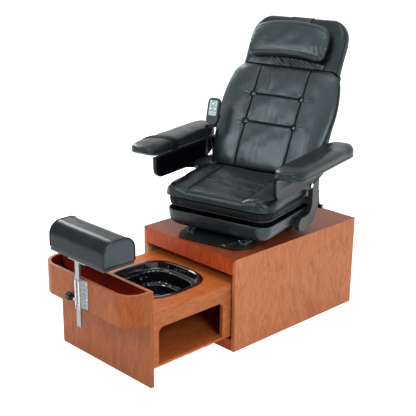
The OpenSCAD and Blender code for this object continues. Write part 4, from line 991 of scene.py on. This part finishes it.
def back_height(x, s, hw):
    across = np.abs(x)
    inside = across < TUFT_X
    full = fullness(x / hw, 5) * fullness(2 * (s + BACK_LOW) / (BACK_L + BACK_LOW) - 1, 7)
    wing = np.where(inside, 0, 7 * hump((across - TUFT_X) / (hw - TUFT_X)))
    mid = np.where(inside, 4.0 * np.cos(x / TUFT_X * math.pi / 2), 0)
    # each block of the middle swells between its rows
    swell = np.zeros_like(x)
    for a, b in ((-BACK_LOW, TUFT_LOW), (TUFT_LOW, TUFT_HIGH), (TUFT_HIGH, BACK_L)):
        swell += np.where((s >= a) & (s < b), hump((s - a) / (b - a)), 0)
    z = -20 + 28 * full + (wing + mid * (0.35 + 0.65 * swell) - 1.5) * full
    line = groove(across - TUFT_X, 7)
    cross = np.maximum(groove(s - TUFT_LOW, 6), groove(s - TUFT_HIGH, 6)) * (across < TUFT_X + 3)
    z = z - np.minimum(9 * line + 8 * cross, 9.5) * full
    p = np.stack([x, s, 0 * x], -1)
    z = z + (Uneven(51, 70, 260)(p) * 1.3 + Uneven(52, 24, 70, (1.2, 0.4, 1))(p) * 0.4) * full
    # dimples and star pulls round the buttons
    for bx in (-TUFT_X, TUFT_X):
        for bs in (TUFT_LOW, TUFT_HIGH):
            r = np.hypot(x - bx, s - bs)
            star = np.cos(np.arctan2(s - bs, x - bx) * 9 + bx)
            z = z - 3.0 * bell(r, 16) + 0.9 * bell(r - 24, 18) * star
    # folds that hang from the upper edge of the middle block
    for fx, w, depth, low in BACK_FOLDS:
        run = ease((s - low) / 40) * ease((BACK_L - 4 - s) / 20)
        z = z - depth * bell(x - fx - 0.05 * (s - 430), w) * run
    # pulls across the sewn lines
    for row in (TUFT_LOW, TUFT_HIGH):
        near = bell(s - row, 14) * (across < TUFT_X - 14)
        z = z + 0.55 * near * np.sin(x / 6.5 + 2 * np.sin(x / 29.0))
    return z + 0.6 * bell(across - TUFT_X, 16) * full * np.sin(s / 9.0 + 2 * np.sin(s / 41.0))


def back_cushion():
    rows = list(np.array([0, 1, 3, 6, 10, 16, 24, 34, 46, 60, 76]) - BACK_LOW)
    rows += list(np.linspace(58, 186, 12))
    rows += [s + d for s in (TUFT_LOW, TUFT_HIGH) for d in np.linspace(-16, 16, 15)]
    rows += list(np.linspace(226, 330, 9)) + list(np.linspace(374, 460, 9))
    rows += list(BACK_L - np.array([46, 36, 27, 20, 14, 9, 5, 2.5, 1, 0]))
    sides = [(0.992, -21.5), (0.986, -24), (0.99, -27), (1.0, -31), (1.003, -38), (0.999, -46), (0.99, -53),
             (0.975, -58), (0.955, -59.8), (0.6, -60)]
    obj, loop, sides_start = slab("back_pad", rows, TUFT_X, back_half, back_height, sides, back_place,
                                  LEATHER_BACK)
    start = back_place((0, 0, 0))
    across, upward = (back_place(way) - start for way in ((1, 0, 0), (0, 1, 0)))

    def shaded(face):
        """Painted shade: the sides, the sewn lines and a ring round every button take the near-black
        leather.
        """
        d = np.array(face.center) - start
        x = abs(d @ across / (across @ across))
        s = d @ upward / (upward @ upward)
        near = min(abs(s - TUFT_LOW), abs(s - TUFT_HIGH))
        sewn = abs(x - TUFT_X) < 3.2 or (x < TUFT_X and near < 3.0)
        return face.index >= sides_start or sewn or math.hypot(x - TUFT_X, near) < 19
    second_material(obj, LEATHER_DARK, shaded)
    pipe = edge_pipe(loop, (BACK_L - BACK_LOW) / 2, 0.988, -55.5, back_place, 0.0027, TRIM)
    return join([obj, pipe], "back_pad")


back = dress(back_cushion(), "back", "leather", "back_cushion")


# ---------------------------------------------------------------- buttons
def button(x, s):
    """A covered button: a domed cap with a rolled rim."""
    r, h, n = 14, 7.5, -4.6
    a = np.arange(28) * 2 * math.pi / 28
    rings = []
    for rr, hh in [(0.001, h), (0.35 * r, 0.97 * h), (0.6 * r, 0.84 * h), (0.8 * r, 0.62 * h),
                   (0.93 * r, 0.34 * h), (r, 0.05 * h), (0.97 * r, -0.15 * h), (0.6 * r, -0.2 * h),
                   (0.001, -0.2 * h)]:
        rings.append(np.stack([x + rr * np.cos(a), s + rr * np.sin(a), np.full(28, n + hh)], -1))
    return loft("button", rings, back_place, BUTTON)


buttons = [button(side * TUFT_X, s) for side in (-1, 1) for s in (TUFT_LOW, TUFT_HIGH)]
dress(join(buttons, "back_covered_buttons"), "back", "button_leather", "back_buttons")


# ---------------------------------------------------------------- pillow
PILLOW_X, PILLOW_S, PILLOW_W, PILLOW_H, PILLOW_T, PILLOW_SAG = -14.0, 655.0, 434.0, 190.0, 62.0, 28.0
PILLOW_N = HEAD_N + 3 + PILLOW_T / 2
PILLOW_P = 2.7    # power of its section's superellipse


def pillow_section(u):
    """Half height, middle and half thickness at share u of the way to an end."""
    k = float(fullness(u * 0.985, 5))
    cut_in = float(corner_cut((1 - abs(u)) * PILLOW_W / 2, 48))
    half = (PILLOW_H - 0.4 * PILLOW_SAG * u * u) / 2 - cut_in
    half *= 0.35 + 0.65 * float(fullness(u, 60))
    return half, -PILLOW_SAG * u * u, PILLOW_T / 2 * (0.12 + 0.88 * k)


def pillow_points(u, angles, lift=0.0):
    """Points of the section at share u, at angles from its upper edge."""
    half, middle, thick = pillow_section(u)
    up = PILLOW_S + middle + half * bent(np.cos(angles), PILLOW_P)
    out = PILLOW_N + thick * bent(np.sin(angles), PILLOW_P) + lift
    return np.stack([np.full(np.shape(angles), PILLOW_X + u * PILLOW_W / 2), up, out], -1)


def pillow():
    """The neck pillow, puckered at its ends, with piping round its face."""
    a = np.arange(84) * 2 * math.pi / 84
    broad, fine = Uneven(61, 50, 200), Uneven(62, 18, 50, (0.5, 1.2, 1))
    left_end, right_end = PILLOW_X - PILLOW_W / 2, PILLOW_X + PILLOW_W / 2
    rings = []
    for u in np.sin(np.linspace(-math.pi / 2, math.pi / 2, 81)):
        ring = pillow_points(u, a)
        x, s = ring[:, 0], ring[:, 1]
        middle = s.mean()
        d = unit(ring - (x[0] * 0.85 + PILLOW_X * 0.15, middle, PILLOW_N))
        amount = broad(ring) * 1.1 + fine(ring) * 0.35 - 1.6
        # puckers along the lower right of its seam, and fewer at its left end
        lower = ease((middle + 20 - s) / 60)
        amount = amount + 2.0 * bell(right_end - 26 - x, 58) * lower * np.sin(x / 4.0 + s / 11)
        amount = amount + 0.8 * bell(x - left_end, 30) * np.sin(s / 4.6 + ring[:, 2] / 9)
        ring += d * np.minimum(amount, 0.2)[:, None]
        rings.append(ring)
    obj = loft("neck_pillow_cover", rings, back_place, LEATHER_BACK)
    shares = np.linspace(-0.93, 0.93, 80)
    path = [pillow_points(u, math.radians(48), -1.2) for u in shares]
    path += [pillow_points(u, math.radians(132), -1.2) for u in shares[::-1]]
    pipe = tube("pipe", back_place(even_path(np.array(path), 240)), 0.0017, PIPING, closed=True)
    return join([obj, pipe], "neck_pillow_cover")


pil = dress(pillow(), "back", "leather", "pillow")


# ---------------------------------------------------------------- pillow's skirt and strap
SKIRT_H, SKIRT_HALF = 46.0, 213


def skirt():
    """Gathered cloth, one thin sheet with slanting ruffles that open towards its hem."""
    nu, nv = 460, 16
    xs = np.linspace(-1, 1, nu)
    rng = np.random.default_rng(71)
    step = 2 * math.pi * 2 * SKIRT_HALF / nu / 27.0
    ph = np.cumsum(step * (1 + 0.28 * np.sin(np.arange(nu) / 23.0 + rng.uniform(0, 6))))
    calm = ease((xs + 0.5) * 4)      # the left part lies flatter
    ends = 1 - 0.6 * xs ** 6
    front = []
    for v in np.linspace(0, 1, nv):
        open_ = 1 - v
        x = PILLOW_X + SKIRT_HALF * xs + 44.0 * (0.5 - v) * calm * (1 - xs ** 6)
        s = BACK_L + 3 + v * np.maximum(6, SKIRT_H - 0.8 * PILLOW_SAG * xs ** 2)
        wave = np.sin(ph + 2.4 * v) + 0.22 * np.sin(2 * ph + 1.0 + 3 * v)
        n = HEAD_N + 5.6 + open_ * 6.5 * ends + (0.7 + 5.6 * open_) * (0.12 + 0.88 * calm) * ends * wave
        front.append(np.stack([x, s, np.maximum(n, HEAD_N + 1.3)], -1))
    front = np.array(front)
    verts = np.concatenate([front.reshape(-1, 3), (front - (0, 0, 0.8)).reshape(-1, 3)])
    off = nu * nv
    faces = []
    for j in range(nv - 1):
        for a in range(j * nu, j * nu + nu - 1):
            faces.append((a, a + 1, a + nu + 1, a + nu))
            faces.append((off + a, off + a + nu, off + a + nu + 1, off + a + 1))
    rim = list(range(nu)) + [j * nu + nu - 1 for j in range(1, nv)] \
        + [(nv - 1) * nu + i for i in range(nu - 2, -1, -1)] + [j * nu for j in range(nv - 2, 0, -1)]
    faces += [(a, off + a, off + b, b) for a, b in zip(rim, rim[1:] + rim[:1])]
    width = float(np.linalg.norm(np.diff(front[2], axis=0), axis=1).sum()) * MM
    return make_mesh("pillow_ruffle", back_place(verts), faces, SKIRT), width, SKIRT_H * MM


ruffle, ruffle_w, ruffle_h = skirt()
dress(ruffle, "back", "skirt_cloth", "pillow_skirt")


def strap():
    """Flat webbing over the top of the head section, with raised edges."""
    r = HEAD_T / 2
    s, n = BACK_TOP - r, HEAD_N - r
    gap, t, half = 0.7, 2.2, 58.0
    path = [(s - d, HEAD_N + gap, (0, 1)) for d in (55, 30, 8)]
    for a in np.linspace(90, -90, 25):
        way = (math.cos(math.radians(a)), math.sin(math.radians(a)))
        path.append((s + (r + gap) * way[0], n + (r + gap) * way[1], way))
    path += [(s - d, n - r - gap, (0, -1)) for d in (8, 35, 70)]
    xs = [-half, -half + 1.2, -half + 4, -half + 5.5, 0, half - 5.5, half - 4, half - 1.2, half]
    heights = [0.5, t, t, t - 0.7, t - 0.7, t - 0.7, t, t, 0.5]
    rings = []
    for ps, pn, (ds, dn) in path:
        over = [(x, ps + ds * h, pn + dn * h) for x, h in zip(xs, heights)]
        rings.append(over + [(x, ps, pn) for x in xs[::-1]])
    return loft("pillow_webbing", rings, back_place, STRAP, sharp=50)


dress(strap(), "back", "skirt_cloth", "pillow_strap")


# ---------------------------------------------------------------- arm pads
ARM_L, ARM_W, ARM_T, ARM_NOSE, ARM_IN, ARM_FRONT, ARM_Z = 610.0, 150.0, 60.0, 92.0, 318.0, 415.0, 862.0
ARM_X = ARM_IN + ARM_W / 2
ARM_TOP_P, ARM_LOW_P = 2.8, 6.0          # powers of the section's upper and lower curves
BAND = (149, 199)                        # the left arm's leather band, from the tip


def arm_section(v):
    """Half width, raise of the middle, height over it and depth under it at v from the tip."""
    w = 1.0 if v >= ARM_NOSE else (1 - (1 - v / ARM_NOSE) ** 2.4) ** (1 / 2.4)
    d = ARM_L - v
    tip = 1 - min(1, v / ARM_NOSE)
    end = float(corner_cut(d, 26)) * 0.75
    mid = 6 * tip * tip
    b = ARM_W / 2 * w - float(corner_cut(d, 64)) * 0.86
    return (b, mid, ARM_T / 2 + 7 - 14 * tip ** 2 - 6 * tip ** 8 - mid - end,
            ARM_T / 2 - 20 * tip ** 2 - 5 * tip ** 8 + mid - end)


def arm_ring(v, angles, lift=0.0, skew=0.0):
    """The section at v from the tip, at angles from straight up."""
    b, mid, top, low = arm_section(v)
    up = np.cos(angles) > 0
    p = np.where(up, ARM_TOP_P, ARM_LOW_P)
    x = (b + lift) * bent(np.sin(angles), p)
    z = mid + (np.where(up, top, low) + lift) * bent(np.cos(angles), p)
    return np.stack([ARM_X + x, v - ARM_FRONT - skew * x, ARM_Z + z], -1)


def arm_pad(side, name):
    """An armrest's pad, with a drawn-in seam and two rows of piping along its lower edge."""
    place = side_place(side)
    vs = np.r_[[0.4, 1.4, 3, 5, 8, 12, 17, 23, 30, 38, 47, 57, 68, 80, 92], np.linspace(106, ARM_L - 80, 30),
               ARM_L - np.array([66, 52, 40, 30, 22, 16, 11, 7, 4, 2, 0.6, 0])]
    angles = np.arange(72) * 2 * math.pi / 72
    broad, fine = Uneven(81 + side, 50, 220), Uneven(83 + side, 20, 60, (1.0, 0.5, 1))
    rings = []
    for v in vs:
        ring = arm_ring(v, angles)
        d = ring - (ARM_X, v - ARM_FRONT, ARM_Z)
        d[:, 0] *= 0.5
        amount = (broad(ring) + fine(ring) * 0.3 - 1.4) * ease((ring[:, 2] - ARM_Z + 10) / 22)
        _, mid, _, low = arm_section(v)
        depth = (ARM_Z + mid - ring[:, 2]) / low
        amount = amount - 1.8 * bell(depth - 0.52, 0.11) * (3 < v < ARM_L - 3)
        ring += unit(d) * np.minimum(amount, 0)[:, None]
        rings.append(ring)
    parts = [loft(name, rings, place, LEATHER)]
    for depth, material in ((0.40, PIPING), (0.70, TRIM)):
        loop = []
        for way, seq in ((1, vs[1:-2]), (-1, vs[1:-2][::-1])):
            for v in seq:
                b, mid, _, low = arm_section(v)
                half = b * (1 - depth ** ARM_LOW_P) ** (1 / ARM_LOW_P) - 1.2
                y = v - ARM_FRONT + (0.8 if v < 3 else 0)
                loop.append((ARM_X + way * half, y, ARM_Z + mid - depth * low))
        parts.append(tube("pipe", place(even_path(np.array(loop), 180)), 0.0023, material, closed=True))
    if side < 0:
        # a band of leather wrapped over the pad, askew
        band = []
        for v in np.linspace(*BAND, 9):
            lift = 2.2 * min(1, min(v - BAND[0], BAND[1] - v) / 3.0) + 0.15
            outer = arm_ring(v, np.linspace(-2.05, 2.05, 60), lift, 0.40)
            inward = unit((outer - (ARM_X, 0, ARM_Z)) * (1, 0, 1))
            band.append(np.r_[outer, (outer - inward * 3.5)[::-1]])
        parts.append(loft("band", band, place, LEATHER_DARK))
    return join(parts, name)


# ---------------------------------------------------------------- arm side panels
PANEL_IN, PANEL_OUT = 318.0, 338.0
PIVOT_Y, PIVOT_Z = -25.0, 720.0


def panel_outline():
    """The side panel's outline in y and z: a rounded front corner, and a lug round the pivot."""
    r, y0, z0, top = 50.0, -370.0, 726.0, 832.0
    pts = [(y0, top)]
    pts += [(y0 + r + r * math.cos(a), z0 + r + r * math.sin(a))
            for a in np.linspace(math.pi, 1.5 * math.pi, 14)]
    pts += [(-240, z0 - 1.5), (-180, z0 - 2.5), (PIVOT_Y - 90, z0 - 4), (PIVOT_Y - 50, z0 - 13)]
    pts += [(PIVOT_Y + 20 * math.cos(a), PIVOT_Z + 20 * math.sin(a))
            for a in np.radians(np.linspace(257, 296, 8))]
    pts += [(PIVOT_Y + 45, PIVOT_Z + 1), (100, 746), (146, 774), (182, 801), (182.5, top)]
    return np.array(pts)


def arm_panel(side, name):
    """A padded side panel with piping round both faces and a bore for the pivot bolt."""
    place = side_place(side)
    out = panel_outline()
    t = np.roll(out, -1, 0) - np.roll(out, 1, 0)
    normals = unit(np.stack([t[:, 1], -t[:, 0]], -1))

    def ring(x, inset):
        return np.column_stack([np.full(len(out), x), out - normals * inset])
    edge = ((-0.2, 5.0), (0, 3.0), (1.2, 1.0), (4, 0.1))      # distance from a face, and inset
    rings = [ring(PANEL_IN + abs(d), k) for d, k in edge] + [ring(PANEL_IN + 10, 0.0)]
    rings += [ring(PANEL_OUT - abs(d), k) for d, k in edge[::-1]]
    obj = loft(name, rings, place, LEATHER_FIRM, caps="face", sharp=60)
    # painted shade: the face towards the sitter takes a near-black leather, where it lies in shade under the
    # arm pad
    start, metre = (place((x, 0, 0)) for x in (PANEL_IN, PANEL_IN + 1000))
    second_material(obj, LEATHER_INNER_SHADE,
                    lambda face: (np.array(face.center) - start) @ (metre - start) < 0.0016)
    bore = [place((x, PIVOT_Y, PIVOT_Z)) for x in (PANEL_IN - 5, PANEL_OUT + 5)]
    cut(obj, [rod(*bore, 0.00605, LEATHER_FIRM)])
    pipes = [tube("pipe", place(even_path(ring(x, 2.2), 150)), 0.0017, PIPING, 6, True, (1, 0, 0))
             for x in (PANEL_IN + 1.2, PANEL_OUT - 1.2)]
    return join([obj] + pipes, name)


for build, form, node, fill in ((arm_pad, "pad", "arm_pad", 0.9), (arm_panel, "side", "arm_panel", 0.95)):
    for side, way in ((1, "right"), (-1, "left")):
        piece = build(side, "%s_arm_%s" % (way, form))
        dress(piece, "arm_" + way, "leather", "%s_%s" % (node, way))


# ---------------------------------------------------------------- floor, world and lamps
def stage_floor():
    s, z = 14.0, -0.0005
    mesh = bpy.data.meshes.new("floor")
    mesh.from_pydata([(-s, -s, z), (s, -s, z), (s, s, z), (-s, s, z)], [], [(0, 1, 2, 3)])
    m, g = new_material("pale_floor")
    # white where the camera, glass or a reflection sees it
    g.shade(Base_Color=(0.86, 0.86, 0.86, 1), Roughness=0.75, Emission_Color=(1, 1, 1, 1),
            Emission_Strength=g.calc("MULTIPLY", g.whitening(), 0.78))
    mesh.materials.append(m)
    add_object("floor", mesh)


stage_floor()

world = bpy.data.worlds.new("studio")
bpy.context.scene.world = world
world.use_nodes = True
world.node_tree.nodes.clear()
g = Graph(world.node_tree)
white = g.node("Background", {"Color": (1, 1, 1, 1), "Strength": 1.0})
# the light from all round is brighter from the backdrop's side than from the camera's
toward = g.node("VectorMath", {0: g.node("TexCoord").outputs["Generated"], 1: (-0.62, 0.70, 0.35)},
                operation="DOT_PRODUCT")
level = g.node("MapRange", {"Value": toward.outputs["Value"], "From Min": -0.55, "From Max": 0.55,
                            "To Min": 0.10, "To Max": 0.95}, interpolation_type="SMOOTHSTEP")
light = g.node("Background", {"Color": (0.95, 0.98, 1.0, 1), "Strength": level.outputs["Result"]})
mixed = g.node("MixShader", {0: g.whitening(), 1: light.outputs[0], 2: white.outputs[0]})
g.node("OutputWorld", {0: mixed.outputs[0]})


def lamp(name, loc, target, size, power, color):
    data = bpy.data.lights.new(name, "AREA")
    data.shape = "RECTANGLE"
    data.size, data.size_y = size
    data.energy = power
    data.color = color
    obj = add_object(name, data)
    obj.location = loc
    obj.rotation_euler = (Vector(target) - Vector(loc)).to_track_quat("-Z", "Y").to_euler()


lamp("key", (-1.0, -4.6, 3.7), (0, -0.3, 0.6), (2.0, 1.6), 86, (1, 0.99, 0.98))
lamp("fill", (4.2, -1.6, 2.8), (0, -0.3, 0.6), (1.6, 1.6), 88, (0.98, 0.99, 1))
lamp("top", (0.6, -0.6, 4.2), (0, -0.3, 0.4), (2.0, 1.6), 30, (1, 1, 1))
lamp("rim", (-3.5, 0.6, 2.9), (0, -0.2, 0.8), (1.2, 1.8), 60, (1, 1, 1))

sc = bpy.context.scene
sc.view_settings.view_transform = "Standard"
